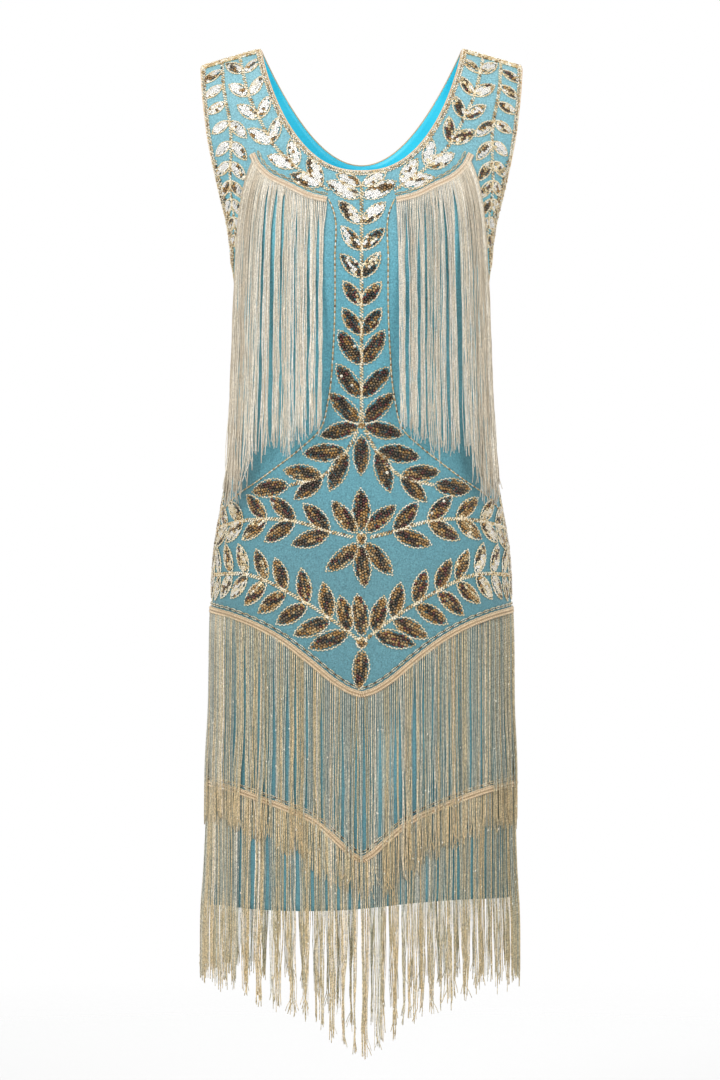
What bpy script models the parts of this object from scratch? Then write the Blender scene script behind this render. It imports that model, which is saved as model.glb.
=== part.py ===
"""A sleeveless flapper dress, hollow, as on a wearer: two panels, beaded edges and tiers of fringe.

Metres, +Z up. The front faces -Y, and the origin is between the tops of the shoulder straps.
The cloth is one smooth form, worked out from a table of sections: a point of it is given by an
angle round the body (0 at the centre front, 90 degrees at the +X side, 180 at the centre back) and
a height. Every piece that lies on the cloth is made from points of that form, moved outwards.
"""

import math

import bpy
import numpy as np

# Cloth and seams
CLOTH = 0.0018  # net and lining together
SEAM_GAP = 0.0003

# Heights below the shoulder tops
NECK_FRONT_DEPTH = 0.146
NECK_BACK_DEPTH = 0.120
UNDERARM = 0.2386
LEVEL_ROWS_FROM = 0.330  # below this the mesh rows run level
HEM = 0.949

# Neckline, a curve |x/w|^m + |z/d|^n = 1, with (m, n) for each side
NECK_HALF_WIDTH = 0.112
NECK_FRONT_CURVE = (2.40, 1.30)
NECK_BACK_CURVE = (2.00, 0.95)
NECK_STEPS_CLOSE_UP = 1.45  # how much closer together its points lie towards the shoulder

# Shoulders
SHOULDER_ROUND = 0.050  # how far below its top a strap is still turning over the shoulder
SHOULDER_SLOPE = 0.295
SLOPE_STARTS_IN = 0.008
SLOPE_FADES_BY = 0.160
ARMHOLE_OPEN = 0.50  # cosine of the armhole edge's angle at mid height

# Sections of the body: |x/half_width|^n + |y/depth|^n = 1
SECTION_CURVE = 2.3

# (height, half_width, front_depth, back_depth)
# Above the underarm, half_width is that of the whole section with the armholes covered over.
FIGURE = (
    (0.000, 0.2000, 0.056, 0.062),
    (-0.056, 0.1960, 0.064, 0.079),
    (-0.112, 0.1880, 0.089, 0.095),
    (-0.168, 0.1720, 0.108, 0.101),
    (-0.205, 0.1567, 0.119, 0.100),
    (-0.240, 0.1447, 0.125, 0.097),
    (-0.280, 0.1395, 0.125, 0.093),
    (-0.330, 0.1388, 0.118, 0.089),
    (-0.380, 0.1410, 0.113, 0.088),
    (-0.430, 0.1450, 0.111, 0.092),
    (-0.500, 0.1540, 0.112, 0.102),
    (-0.560, 0.1640, 0.115, 0.112),
    (-0.622, 0.1675, 0.117, 0.118),
    (-0.730, 0.1690, 0.116, 0.117),
    (-0.840, 0.1695, 0.114, 0.114),
    (-0.949, 0.1690, 0.113, 0.113),
)

# Bust, one soft mound on each side
BUST_OUT = 0.008
BUST_X = 0.072
BUST_Z = -0.218
BUST_WIDE = 0.046
BUST_TALL = 0.055

# Skirt waves, (number round the hem, share, phase in degrees)
SKIRT_WAVES = ((7, 0.55, 20.0), (9, 0.45, 115.0))
WAVE_OUT = 0.0035
WAVES_FROM = -0.680
WAVES_GROW = 1.5
HEM_TILT = 0.007  # the hem rises this much at the +X side and falls as much at the other
HEM_RIPPLE = 0.0025
HEM_RIPPLES = 4
HEM_RIPPLE_PHASE = -30.0
HEM_TURNS_FROM = -0.870  # above this the mesh rows stay level

# Mesh of a half panel
COLUMNS = 10
NECK_ROWS = 12
TURN_ROWS = 4
LEVEL_ROWS = 13

# Beaded edges
TRIM_WIDE = 0.0046
TRIM_THICK = 0.0016
TRIM_LIFT = 0.0012
NECK_TRIM_STEPS = 14  # to half a neckline
ARMHOLE_TRIM_STEPS = 24  # to half an armhole

# Gimp headings
GIMP_THICK = 0.0022
GIMP_LIFT = 0.0009

# Bust fringe. Heading: (x, height) from its inner end outwards
BUST_HEADING = (
    (0.037, -0.1760),
    (0.055, -0.1715),
    (0.079, -0.1590),
    (0.101, -0.1465),
    (0.115, -0.1335),
    (0.122, -0.1170),
)
BUST_GIMP_TALL = 0.0075
BUST_LOCKS = 14
BUST_ENDS_X = (0.042, 0.148)  # where the inner and outer locks hang
BUST_ENDS_Z = (-0.428, -0.500)
BUST_FAN = 0.035  # drop in which a lock takes most of its sideways swing
BUST_FAN_SHARE = 0.60
BUST_LOCK_OUT = 0.0046  # a hanging lock's middle, in front of what it hangs over
BUST_LOCK_THICK = 0.0030
BUST_STEPS = (0.07, 0.20, 0.45, 1.0)  # sections of a lock, as shares of its length
BUST_TAPER = (1.0, 1.04, 1.0, 0.72)  # width at each section, as a share of the full width
BUST_SWAY = (0.2, 0.6, -0.5, 1.0)  # of LOCK_SWAY, at each section
BUST_FINE_STEPS = 80  # at which a lock's path is followed down over the bust

# Skirt fringes. Headings: (share of the half width, height), from the centre to the side
HIP_HEADING = (
    (0.00, -0.7140),
    (0.07, -0.7100),
    (0.15, -0.7020),
    (0.32, -0.6790),
    (0.50, -0.6560),
    (0.66, -0.6410),
    (0.85, -0.6290),
    (1.00, -0.6230),
)
SKIRT_HEADING = (
    (0.00, -0.8940),
    (0.05, -0.8890),
    (0.12, -0.8780),
    (0.30, -0.8530),
    (0.48, -0.8390),
    (0.64, -0.8290),
    (0.85, -0.8190),
    (1.00, -0.8165),
)
SKIRT_GIMP_TALL = 0.007
SKIRT_LOCKS = 34  # on each of the front and back
HIP_LOCK_LONG = 0.212
SKIRT_LOCK_LONG = 0.210
SKIRT_STEPS = (0.25, 0.60, 1.0)
SKIRT_TAPER = (1.0, 1.0, 0.72)
SKIRT_SWAY = (0.3, -0.6, 1.0)
HIP_LOCK_OUT = (0.0034, 0.0054, 0.0056)  # the hip fringe hangs over the skirt's heading and fringe
SKIRT_LOCK_OUT = (0.0021, 0.0024, 0.0045)
SKIRT_LOCK_THICK = 0.0024

# Locks of any fringe
LOCK_SHARE = 0.72  # of its lane's width
LOCK_UNEVEN = 0.005  # how much the ends differ
LOCK_SWAY = 0.10  # of its lane's width

# Colours (red, green, blue), roughness
TURQUOISE = (0.17, 0.50, 0.57), 0.55
BEADS = (0.62, 0.50, 0.26), 0.35
IVORY = (0.72, 0.64, 0.48), 0.60
SAND = (0.50, 0.42, 0.26), 0.60

SMOOTH_BELOW = math.radians(40)
STEP = 1e-5  # for slopes by difference
RIGHT_ANGLE = math.pi / 2


def smooth_table(table, column, key):
    """A column of a table whose first column rises or falls, read as a smooth curve at each key.

    Between two rows it is the cubic with the rows' own slopes, each the slope between its neighbours.
    """
    rows = np.array(table)
    if rows[0, 0] > rows[-1, 0]:
        rows = rows[::-1]
    at, value = rows[:, 0], rows[:, column]
    slope = np.gradient(value, at)
    key = np.clip(key, at[0], at[-1])
    i = np.clip(np.searchsorted(at, key) - 1, 0, len(at) - 2)
    span = at[i + 1] - at[i]
    t = (key - at[i]) / span
    start = (1 + 2 * t) * (1 - t) ** 2 * value[i] + t * (1 - t) ** 2 * span * slope[i]
    end = t * t * (3 - 2 * t) * value[i + 1] + t * t * (t - 1) * span * slope[i + 1]
    return start + end


def section(height):
    """Half width, front depth and back depth of the form at a height."""
    half_width = smooth_table(FIGURE, 1, height)
    over = np.clip(1 + height / SHOULDER_ROUND, 0, 1)
    turning = np.sqrt(1 - over**2)
    return (
        half_width,
        smooth_table(FIGURE, 2, height) * turning,
        smooth_table(FIGURE, 3, height) * turning,
    )


def unit_curve(angle):
    """The point of |x|^n + |y|^n = 1 in the direction of an angle from the front."""
    s, c = np.sin(angle), np.cos(angle)
    size = (np.abs(s) ** SECTION_CURVE + np.abs(c) ** SECTION_CURVE) ** (-1 / SECTION_CURVE)
    return s * size, c * size


def angle_at(x, height):
    """The angle at which the front of the form passes a given x."""
    share = np.clip(np.abs(x) / section(height)[0], 0, 1)
    other = (1 - share**SECTION_CURVE) ** (1 / SECTION_CURVE)
    return np.sign(x) * np.arctan2(share, other)


def waves(angle):
    """The skirt's waves round the body, from -1 to 1."""
    return sum(share * np.sin(count * angle + math.radians(phase)) for count, share, phase in SKIRT_WAVES)


def bust_mound(x, height):
    """How far a bust mound stands out: a bell curve across and another up and down."""
    across = (np.abs(x) - BUST_X) / BUST_WIDE
    up = (height - BUST_Z) / BUST_TALL
    return BUST_OUT * np.exp(-(across**2) - up**2)


def form(angle, height):
    """Points of the cloth's outer face."""
    angle, height = np.broadcast_arrays(angle, np.minimum(height, 0.0))
    half_width, front, back = section(height)
    across, along = unit_curve(angle)
    x = half_width * across
    y = -np.where(along > 0, front, back) * along
    y = y - bust_mound(x, height) * np.clip(along, 0, 1)
    grown = np.clip((WAVES_FROM - height) / (WAVES_FROM + HEM), 0, 1) ** WAVES_GROW
    swell = 1 + WAVE_OUT * grown * waves(angle) / np.maximum(np.hypot(x, y), SHOULDER_ROUND)
    outside = np.abs(x) - NECK_HALF_WIDTH
    outside = (outside + np.sqrt(outside**2 + SLOPE_STARTS_IN**2)) / 2
    fade = np.clip(1 + height / SLOPE_FADES_BY, 0, 1) ** 2
    return np.stack([x * swell, y * swell, height - SHOULDER_SLOPE * outside * fade], axis=-1)


def normal(angle, height):
    """The form's outward direction, from its slopes round the body and up it."""
    height = np.minimum(height, -2 * STEP)
    around = form(angle + STEP, height) - form(angle - STEP, height)
    up = form(angle, height + STEP) - form(angle, height - STEP)
    out = np.cross(around, up)
    return out / np.linalg.norm(out, axis=-1, keepdims=True)


def lifted(angle, height, out):
    """A point of the form moved straight outwards."""
    return form(angle, height) + normal(angle, height) * np.asarray(out)[..., None]


def slid(angle, height, move):
    """The angle and height that a small move along the form's face leads to.

    The move is split between the form's two slopes there by least squares.
    """
    height = np.minimum(height, -2 * STEP)
    around = (form(angle + STEP, height) - form(angle - STEP, height)) / (2 * STEP)
    up = (form(angle, height + STEP) - form(angle, height - STEP)) / (2 * STEP)
    aa, au, uu = (around**2).sum(-1), (around * up).sum(-1), (up**2).sum(-1)
    ma, mu = (move * around).sum(-1), (move * up).sum(-1)
    scale = aa * uu - au**2
    return angle + (ma * uu - mu * au) / scale, height + (mu * aa - ma * au) / scale


def part_at_side(points, side):
    """Moves a front piece forward and a back piece back by half the gap of the seams between them."""
    return points + np.array([0.0, side * SEAM_GAP / 2, 0.0])


FRONT, BACK = -1, 1  # sign of y


def material(name, finish):
    colour, roughness = finish
    made = bpy.data.materials.new(name)
    made.diffuse_color = (*colour, 1.0)
    made.use_nodes = True
    shader = made.node_tree.nodes["Principled BSDF"]
    shader.inputs["Base Color"].default_value = (*colour, 1.0)
    shader.inputs["Roughness"].default_value = roughness
    shader.inputs["Metallic"].default_value = 0.0
    return made


def solid(name, points, faces, finish):
    mesh = bpy.data.meshes.new(name)
    mesh.from_pydata(points.reshape(-1, 3).tolist(), [], [list(map(int, face)) for face in faces])
    mesh.validate()
    mesh.shade_smooth()
    mesh.set_sharp_from_angle(angle=SMOOTH_BELOW)
    mesh.materials.append(material(name, finish))
    made = bpy.data.objects.new(name, mesh)
    bpy.context.scene.collection.objects.link(made)
    return made


def grid_faces(rows, columns):
    """Four-sided faces of a grid whose points run row by row, with its rows going down."""
    at = np.arange(rows * columns).reshape(rows, columns)
    return np.stack([at[1:, :-1], at[1:, 1:], at[:-1, 1:], at[:-1, :-1]], axis=-1).reshape(-1, 4)


def walled(outer, inner, faces):
    """Closes two like sheets into a wall.

    It takes the outer faces, the inner ones turned round, and a strip of faces along each open edge.
    """
    count = len(outer)
    edges = np.concatenate([np.stack([faces[:, k], faces[:, (k + 1) % 4]], axis=1) for k in range(4)])
    both_ways = {tuple(edge) for edge in edges.tolist()}
    rim = [(b, a, a + count, b + count) for a, b in edges.tolist() if (b, a) not in both_ways]
    return np.concatenate([outer, inner]), [*faces.tolist(), *(faces[:, ::-1] + count).tolist(), *rim]


def neck_edge(share, side):
    """(x, height) along half a neckline, from the shoulder at 0 to the centre at 1."""
    deep = NECK_FRONT_DEPTH if side == FRONT else NECK_BACK_DEPTH
    m, n = NECK_FRONT_CURVE if side == FRONT else NECK_BACK_CURVE
    turn = RIGHT_ANGLE * share**NECK_STEPS_CLOSE_UP
    x = NECK_HALF_WIDTH * np.clip(np.cos(turn), 0, 1) ** (2 / m)
    return x, -deep * np.sin(turn) ** (2 / n)


def armhole_edge(share):
    """(angle, height) along half an armhole, from the shoulder at 0 to the underarm at 1."""
    down = np.sin(RIGHT_ANGLE * share) ** 2
    return np.arccos(ARMHOLE_OPEN * np.sqrt(1 - down**6)), -UNDERARM * down


def panel(name, side):
    """A front or back.

    It is a half patch, from its neckline and centre line out to its armhole and side seam, joined to
    its mirror image. The rows slant near the neck and run level below LEVEL_ROWS_FROM.
    """
    deep = NECK_FRONT_DEPTH if side == FRONT else NECK_BACK_DEPTH
    neck = np.linspace(0, 1, NECK_ROWS + 1)
    turn = np.linspace(0, 1, TURN_ROWS + 1)[1:]
    level = -LEVEL_ROWS_FROM + (LEVEL_ROWS_FROM - HEM) * np.linspace(0, 1, LEVEL_ROWS + 1)[1:]
    neck_x, neck_height = neck_edge(neck, side)
    inner_height = np.concatenate([neck_height, -deep + (deep - LEVEL_ROWS_FROM) * turn, level])
    inner_angle = np.zeros(len(inner_height))
    inner_angle[: NECK_ROWS + 1] = angle_at(neck_x, neck_height)
    arm_angle, arm_height = armhole_edge(neck)
    outer_height = np.concatenate([arm_height, -UNDERARM + (UNDERARM - LEVEL_ROWS_FROM) * turn, level])
    outer_angle = np.full(len(outer_height), RIGHT_ANGLE)
    outer_angle[: NECK_ROWS + 1] = arm_angle
    u = np.linspace(0, 1, COLUMNS + 1)
    angle = inner_angle[:, None] + (outer_angle - inner_angle)[:, None] * u
    height = inner_height[:, None] + (outer_height - inner_height)[:, None] * u
    if side == BACK:
        angle = angle + math.pi
    low = np.clip((HEM_TURNS_FROM - height) / (HEM_TURNS_FROM + HEM), 0, 1)
    mirrored = -angle
    sheets = []
    for way in (angle, mirrored):
        ripple = HEM_RIPPLE * np.sin(HEM_RIPPLES * way + math.radians(HEM_RIPPLE_PHASE))
        raised = height + low * (HEM_TILT * np.sin(way) + ripple)
        out = normal(way, raised)
        on_seam = np.zeros(way.shape, bool)
        on_seam[0] = True
        on_seam[NECK_ROWS:, -1] = True
        out[on_seam, 1] = 0.0
        out /= np.linalg.norm(out, axis=-1, keepdims=True)
        outer = part_at_side(form(way, raised), side)
        sheets.append((outer, outer - out * CLOTH))
    faces = grid_faces(*angle.shape)
    outer = np.concatenate([sheet[0].reshape(-1, 3) for sheet in sheets])
    inner = np.concatenate([sheet[1].reshape(-1, 3) for sheet in sheets])
    faces = np.concatenate([faces, faces[:, ::-1] + angle.size])
    _, first, joined = np.unique(np.round(outer, 6), axis=0, return_index=True, return_inverse=True)
    points, faces = walled(outer[first], inner[first], joined.reshape(-1)[faces])
    return solid(name, points, faces, TURQUOISE)


def ring(name, angle, height, finish):
    """A closed flat braid along an edge, TRIM_WIDE into the cloth and TRIM_THICK proud of it.

    angle and height hold the edge's points on the form, turning clockwise round the opening as seen
    from outside.
    """
    edge, out = form(angle, height), normal(angle, height)
    along = np.roll(edge, -1, axis=0) - np.roll(edge, 1, axis=0)
    into = np.cross(out, along)
    into /= np.linalg.norm(into, axis=1, keepdims=True)
    far = slid(angle, height, into * TRIM_WIDE)
    low, high = np.full(len(edge), TRIM_LIFT), np.full(len(edge), TRIM_LIFT + TRIM_THICK)
    near = angle, height
    corners = [lifted(*near, low), lifted(*near, high), lifted(*far, high), lifted(*far, low)]
    at = np.arange(len(edge) * 4).reshape(-1, 4)
    following = np.roll(at, -1, axis=0)
    faces = []
    for k in range(4):
        other = (k + 1) % 4
        faces.append(np.stack([at[:, k], following[:, k], following[:, other], at[:, other]], axis=1))
    return solid(name, np.stack(corners, axis=1), np.concatenate(faces), finish)


def neck_trim():
    """The beaded edge of the neckline, over the front, a shoulder, the back and the other shoulder."""
    share = np.linspace(0, 1, NECK_TRIM_STEPS + 1)
    x, front_height = neck_edge(share, FRONT)
    front = angle_at(x, front_height)
    x, back_height = neck_edge(share, BACK)
    back = math.pi - angle_at(x, back_height)
    angle = np.concatenate([front[:0:-1], back[:-1], (2 * math.pi - back)[:0:-1], (-front)[:-1]])
    height = np.concatenate([front_height[:0:-1], back_height[:-1], back_height[:0:-1], front_height[:-1]])
    return ring("neck_trim", angle[::-1], height[::-1], BEADS)


def armhole_trim(name, hand):
    """The beaded edge of one armhole, down its front edge and up its back one. hand is the sign of x."""
    angle, height = armhole_edge(np.linspace(0, 1, ARMHOLE_TRIM_STEPS + 1))
    angle = hand * np.concatenate([angle[:-1], (math.pi - angle)[:0:-1]])
    height = np.concatenate([height[:-1], height[:0:-1]])
    clockwise = -hand
    return ring(name, angle[::clockwise], height[::clockwise], BEADS)


def comb(name, top, bottom, sections, finish):
    """A heading with locks hanging from it, as one body.

    top and bottom hold the heading's (inner, outer) points at each side of each lane, and sections
    the corners of each lock's sections below the heading, outer left, outer right, inner right and
    inner left as seen from outside. A lock grows from the heading's underside, over its own lane.
    """
    count = len(top)
    locks, steps = sections.shape[:2]
    top_in, top_out, low_in, low_out = (np.arange(count) + k * count for k in range(4))
    lock_at = (4 * count + np.arange(locks * steps * 4)).reshape(locks, steps, 4)
    i = np.arange(count - 1)
    gap = i[1::2]
    faces = [
        np.stack([low_out[i], low_out[i + 1], top_out[i + 1], top_out[i]], axis=1),
        np.stack([top_out[i], top_out[i + 1], top_in[i + 1], top_in[i]], axis=1),
        np.stack([low_in[i + 1], low_in[i], top_in[i], top_in[i + 1]], axis=1),
        np.stack([low_in[gap], low_in[gap + 1], low_out[gap + 1], low_out[gap]], axis=1),
        np.array([[low_out[0], top_out[0], top_in[0], low_in[0]]]),
        np.array([[low_in[-1], top_in[-1], top_out[-1], low_out[-1]]]),
    ]
    lane = 2 * np.arange(locks)
    above = np.stack([low_out[lane], low_out[lane + 1], low_in[lane + 1], low_in[lane]], axis=1)
    for step in range(steps):
        below = lock_at[:, step]
        for k in range(4):
            other = (k + 1) % 4
            faces.append(np.stack([below[:, k], below[:, other], above[:, other], above[:, k]], axis=1))
        above = below
    faces.append(above[:, ::-1])
    points = np.concatenate([top[:, 0], top[:, 1], bottom[:, 0], bottom[:, 1], sections.reshape(-1, 3)])
    return solid(name, points, np.concatenate(faces), finish)


def lane_edges(count):
    """Shares of a heading's length at the two sides of each lane's lock, and the middle of each lane."""
    middle = (np.arange(count) + 0.5) / count
    half = LOCK_SHARE / 2 / count
    edges = np.stack([middle - half, middle + half], axis=1).reshape(-1)
    edges[0], edges[-1] = 0.0, 1.0
    return edges, middle


def lock_corners(middle, across, out, wide, thick):
    """Corners of a lock's section: middle, plus and minus half its width and half its thickness."""
    half_wide = across * (wide / 2)[..., None]
    half_thick = out * thick / 2
    return np.stack(
        [
            middle - half_wide + half_thick,
            middle + half_wide + half_thick,
            middle + half_wide - half_thick,
            middle - half_wide - half_thick,
        ],
        axis=-2,
    )


def heading_points(angle, height, tall, side):
    """The heading's (inner, outer) points along its top and along its underside."""
    near, far = np.full(angle.shape, GIMP_LIFT), np.full(angle.shape, GIMP_LIFT + GIMP_THICK)
    edges = []
    for level in (height, height - tall):
        pair = [lifted(angle, level, near), lifted(angle, level, far)]
        edges.append(part_at_side(np.stack(pair, axis=1), side))
    return edges


def hang_in_front(x, height, side):
    """How far in front of (or behind) the body a lock is at each height: no less than anywhere above it."""
    half_width, front, back = section(height)
    share = np.clip(np.abs(x) / half_width, 0, 1)
    depth = np.where(side == FRONT, front, back) * (1 - share**SECTION_CURVE) ** (1 / SECTION_CURVE)
    if side == FRONT:
        depth = depth + bust_mound(x, height)
    return np.maximum.accumulate(depth, axis=-1)


def bust_fringe(name, side, hand, seed):
    """One of the four fringes beside the necklines: side is the sign of y, hand the sign of x."""
    uneven = np.random.default_rng(seed)
    edges, middle = lane_edges(BUST_LOCKS)
    turn_round = (hand > 0) != (side == BACK)
    path = np.array(BUST_HEADING)
    length = np.concatenate([[0], np.cumsum(np.hypot(*np.diff(path, axis=0).T))])
    table = np.column_stack([length / length[-1], path])

    def along(share):
        outwards = share if turn_round else 1 - share
        return hand * smooth_table(table, 1, outwards), smooth_table(table, 2, outwards), outwards

    x, height, _ = along(edges)
    angle = angle_at(x, height) if side == FRONT else math.pi - angle_at(x, height)
    top, bottom = heading_points(angle, height, BUST_GIMP_TALL, side)

    x, height, outwards = along(middle)
    root = height - BUST_GIMP_TALL
    end_x = BUST_ENDS_X[0] + (BUST_ENDS_X[1] - BUST_ENDS_X[0]) * outwards
    end = BUST_ENDS_Z[0] + (BUST_ENDS_Z[1] - BUST_ENDS_Z[0]) * outwards
    end = end + LOCK_UNEVEN * uneven.uniform(-1, 1, BUST_LOCKS)
    fine = np.linspace(0, 1, BUST_FINE_STEPS + 1)
    drop = (root - end)[:, None] * fine
    swing = BUST_FAN_SHARE * (1 - np.exp(-drop / BUST_FAN)) + (1 - BUST_FAN_SHARE) * fine**2
    path_x = np.abs(x)[:, None] + (end_x - np.abs(x))[:, None] * swing
    path_z = root[:, None] - drop
    depth = hang_in_front(path_x, path_z, side)
    at = np.rint(np.array(BUST_STEPS) * BUST_FINE_STEPS).astype(int)
    px, py, pz = path_x[:, at], depth[:, at], path_z[:, at]
    half_width, front, back = section(pz)
    deep = front if side == FRONT else back
    out_x = (px / half_width) ** (SECTION_CURVE - 1) / half_width
    out_y = (py / deep) ** (SECTION_CURVE - 1) / deep
    size = np.hypot(out_x, out_y)
    out = np.stack([hand * out_x / size, side * out_y / size, np.zeros_like(size)], axis=-1)
    across = np.cross(np.array([0.0, 0.0, 1.0]), out)
    place = np.stack([hand * px, side * py, pz], axis=-1) + out * BUST_LOCK_OUT
    pitch = np.linalg.norm(np.diff(place, axis=0), axis=-1).min(axis=0)
    wide = LOCK_SHARE * pitch * np.array(BUST_TAPER)
    sway = LOCK_SWAY * pitch * uneven.uniform(-1, 1, (BUST_LOCKS, 1)) * np.array(BUST_SWAY)
    place = place + across * sway[..., None]
    corners = lock_corners(place, across, out, np.broadcast_to(wide, px.shape), BUST_LOCK_THICK)
    return comb(name, top, bottom, corners, IVORY)


def even_angles(share, side, height):
    """Angles from one side seam to the other that part the form's girth at a height evenly."""
    start = -RIGHT_ANGLE if side == FRONT else RIGHT_ANGLE
    fine = np.linspace(start, start + math.pi, 721)
    girth = np.concatenate([[0], np.cumsum(np.linalg.norm(np.diff(form(fine, height), axis=0), axis=1))])
    return np.interp(share * girth[-1], girth, fine)


def skirt_fringe(name, side, heading, lock_long, lock_out, seed):
    """A fringe round half the skirt, under a heading that dips to a V at the centre."""
    uneven = np.random.default_rng(seed)
    edges, middle = lane_edges(SKIRT_LOCKS)
    girth_at = heading[-1][1]

    def level(angle):
        return smooth_table(heading, 1, np.abs(unit_curve(angle)[0]))

    angle = even_angles(edges, side, girth_at)
    top, bottom = heading_points(angle, level(angle), SKIRT_GIMP_TALL, side)

    angle = even_angles(middle, side, girth_at)
    root = level(angle) - SKIRT_GIMP_TALL
    long = lock_long + LOCK_UNEVEN * uneven.uniform(-1, 1, SKIRT_LOCKS)
    pz = root[:, None] - long[:, None] * np.array(SKIRT_STEPS)
    on_cloth = np.maximum(pz, -HEM)
    turned = np.broadcast_to(angle[:, None], pz.shape)
    out = normal(turned, on_cloth)
    out[..., 2] = 0.0
    out /= np.linalg.norm(out, axis=-1, keepdims=True)
    across = np.cross(np.array([0.0, 0.0, 1.0]), out)
    place = form(turned, on_cloth) + out * np.array(lock_out)[:, None]
    place[..., 2] = pz
    pitch = np.linalg.norm(np.diff(place[:, 0], axis=0), axis=-1).min()
    wide = LOCK_SHARE * pitch * np.array(SKIRT_TAPER)
    sway = LOCK_SWAY * pitch * uneven.uniform(-1, 1, (SKIRT_LOCKS, 1)) * np.array(SKIRT_SWAY)
    sway[[0, -1]] = 0.0
    place = part_at_side(place + across * sway[..., None], side)
    corners = lock_corners(place, across, out, np.broadcast_to(wide, pz.shape), SKIRT_LOCK_THICK)
    return comb(name, top, bottom, corners, SAND)


def main():
    for old in list(bpy.data.objects):
        bpy.data.objects.remove(old, do_unlink=True)
    dress = bpy.data.objects.new("dress", None)
    bpy.context.scene.collection.objects.link(dress)
    pieces = [
        panel("front_panel", FRONT),
        panel("back_panel", BACK),
        neck_trim(),
        armhole_trim("armhole_trim_left", 1),
        armhole_trim("armhole_trim_right", -1),
        bust_fringe("bust_fringe_front_left", FRONT, 1, 11),
        bust_fringe("bust_fringe_front_right", FRONT, -1, 12),
        bust_fringe("bust_fringe_back_left", BACK, 1, 13),
        bust_fringe("bust_fringe_back_right", BACK, -1, 14),
        skirt_fringe("hip_fringe_front", FRONT, HIP_HEADING, HIP_LOCK_LONG, HIP_LOCK_OUT, 21),
        skirt_fringe("hip_fringe_back", BACK, HIP_HEADING, HIP_LOCK_LONG, HIP_LOCK_OUT, 22),
        skirt_fringe("skirt_fringe_front", FRONT, SKIRT_HEADING, SKIRT_LOCK_LONG, SKIRT_LOCK_OUT, 23),
        skirt_fringe("skirt_fringe_back", BACK, SKIRT_HEADING, SKIRT_LOCK_LONG, SKIRT_LOCK_OUT, 24),
    ]
    for piece in pieces:
        piece.parent = dress


main()
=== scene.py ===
"""The looks of a sleeveless flapper dress: net over satin, sequin leaves, beaded edges and fringe.

Metres, +Z up, the front faces -Y. Every piece lies on one form, the same as the solids': a point of it
is given by an angle round the body (0 at the centre front, 90 degrees at the +X side) and a height.
Ornament is laid out flat, by its distance round the cloth from a centre line and its height.
"""

import functools
import math

import bpy
import numpy as np
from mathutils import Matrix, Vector


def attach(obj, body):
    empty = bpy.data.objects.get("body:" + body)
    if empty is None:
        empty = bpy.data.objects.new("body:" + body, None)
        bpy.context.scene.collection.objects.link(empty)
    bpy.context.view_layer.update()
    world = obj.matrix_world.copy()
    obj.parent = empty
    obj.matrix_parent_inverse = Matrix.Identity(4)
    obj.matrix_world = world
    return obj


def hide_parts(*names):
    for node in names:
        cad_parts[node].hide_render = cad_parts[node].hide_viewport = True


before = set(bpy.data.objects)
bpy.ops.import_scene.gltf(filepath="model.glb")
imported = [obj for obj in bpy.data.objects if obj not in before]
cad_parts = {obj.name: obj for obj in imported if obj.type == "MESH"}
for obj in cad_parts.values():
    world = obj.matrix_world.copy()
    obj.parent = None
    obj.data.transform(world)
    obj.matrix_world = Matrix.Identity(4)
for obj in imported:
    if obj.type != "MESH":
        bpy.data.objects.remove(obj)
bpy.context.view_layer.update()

# ---------------------------------------------------------------- sizes of the form

FRONT, BACK = -1, 1
SIDE_NAME = {FRONT: "front", BACK: "back"}
HAND_NAME = {1: "left", -1: "right"}  # the wearer's own

CLOTH = 0.0014
UNDERARM = 0.2386
LEVEL_ROWS_FROM = 0.330  # below this the mesh rows run level
HEM = 0.949
# Half a neckline is |x/w|^m + |z/d|^n = 1, with (d, m, n) for each side
NECK_HALF_WIDTH = 0.112
NECK = {FRONT: (0.146, 2.40, 1.30), BACK: (0.120, 2.00, 0.95)}
NECK_STEPS_CLOSE_UP = 1.45  # how much closer together its points lie towards the shoulder
SHOULDER_ROUND = 0.050  # how far below its top a strap is still turning over the shoulder
SHOULDER_SLOPE = 0.295
SLOPE_STARTS_IN = 0.008
SLOPE_FADES_BY = 0.160
ARMHOLE_OPEN = 0.50  # cosine of the armhole edge's angle at mid height
SECTION_CURVE = 2.3  # n of the sections |x/w|^n + |y/d|^n = 1

# (height, half_width, front_depth, back_depth)
FIGURE = (
    (0.000, 0.2000, 0.056, 0.062),
    (-0.056, 0.1960, 0.064, 0.079),
    (-0.112, 0.1880, 0.089, 0.095),
    (-0.168, 0.1720, 0.108, 0.101),
    (-0.205, 0.1567, 0.119, 0.100),
    (-0.240, 0.1447, 0.125, 0.097),
    (-0.280, 0.1395, 0.125, 0.093),
    (-0.330, 0.1388, 0.118, 0.089),
    (-0.380, 0.1410, 0.113, 0.088),
    (-0.430, 0.1450, 0.111, 0.092),
    (-0.500, 0.1540, 0.112, 0.102),
    (-0.560, 0.1640, 0.115, 0.112),
    (-0.622, 0.1675, 0.117, 0.118),
    (-0.730, 0.1690, 0.116, 0.117),
    (-0.840, 0.1695, 0.114, 0.114),
    (-0.949, 0.1690, 0.113, 0.113),
)

# Bust mounds: how far out, and where and how wide the bell curves are
BUST_OUT = 0.008
BUST_X = 0.072
BUST_Z = -0.218
BUST_WIDE = 0.046
BUST_TALL = 0.055

# Soft waves of the skirt: (number round the hem, share, phase in degrees)
SKIRT_WAVES = ((7, 0.55, 20.0), (9, 0.45, 115.0))
WAVE_OUT = 0.0035
WAVES_FROM = -0.680
WAVES_GROW = 1.5
HEM_TILT = 0.007  # the hem rises this much at the +X side and falls as much at the other
HEM_RIPPLE = 0.0025
HEM_RIPPLES = 4
HEM_RIPPLE_PHASE = -30.0
HEM_TURNS_FROM = -0.870  # above this the mesh rows stay level

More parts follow.
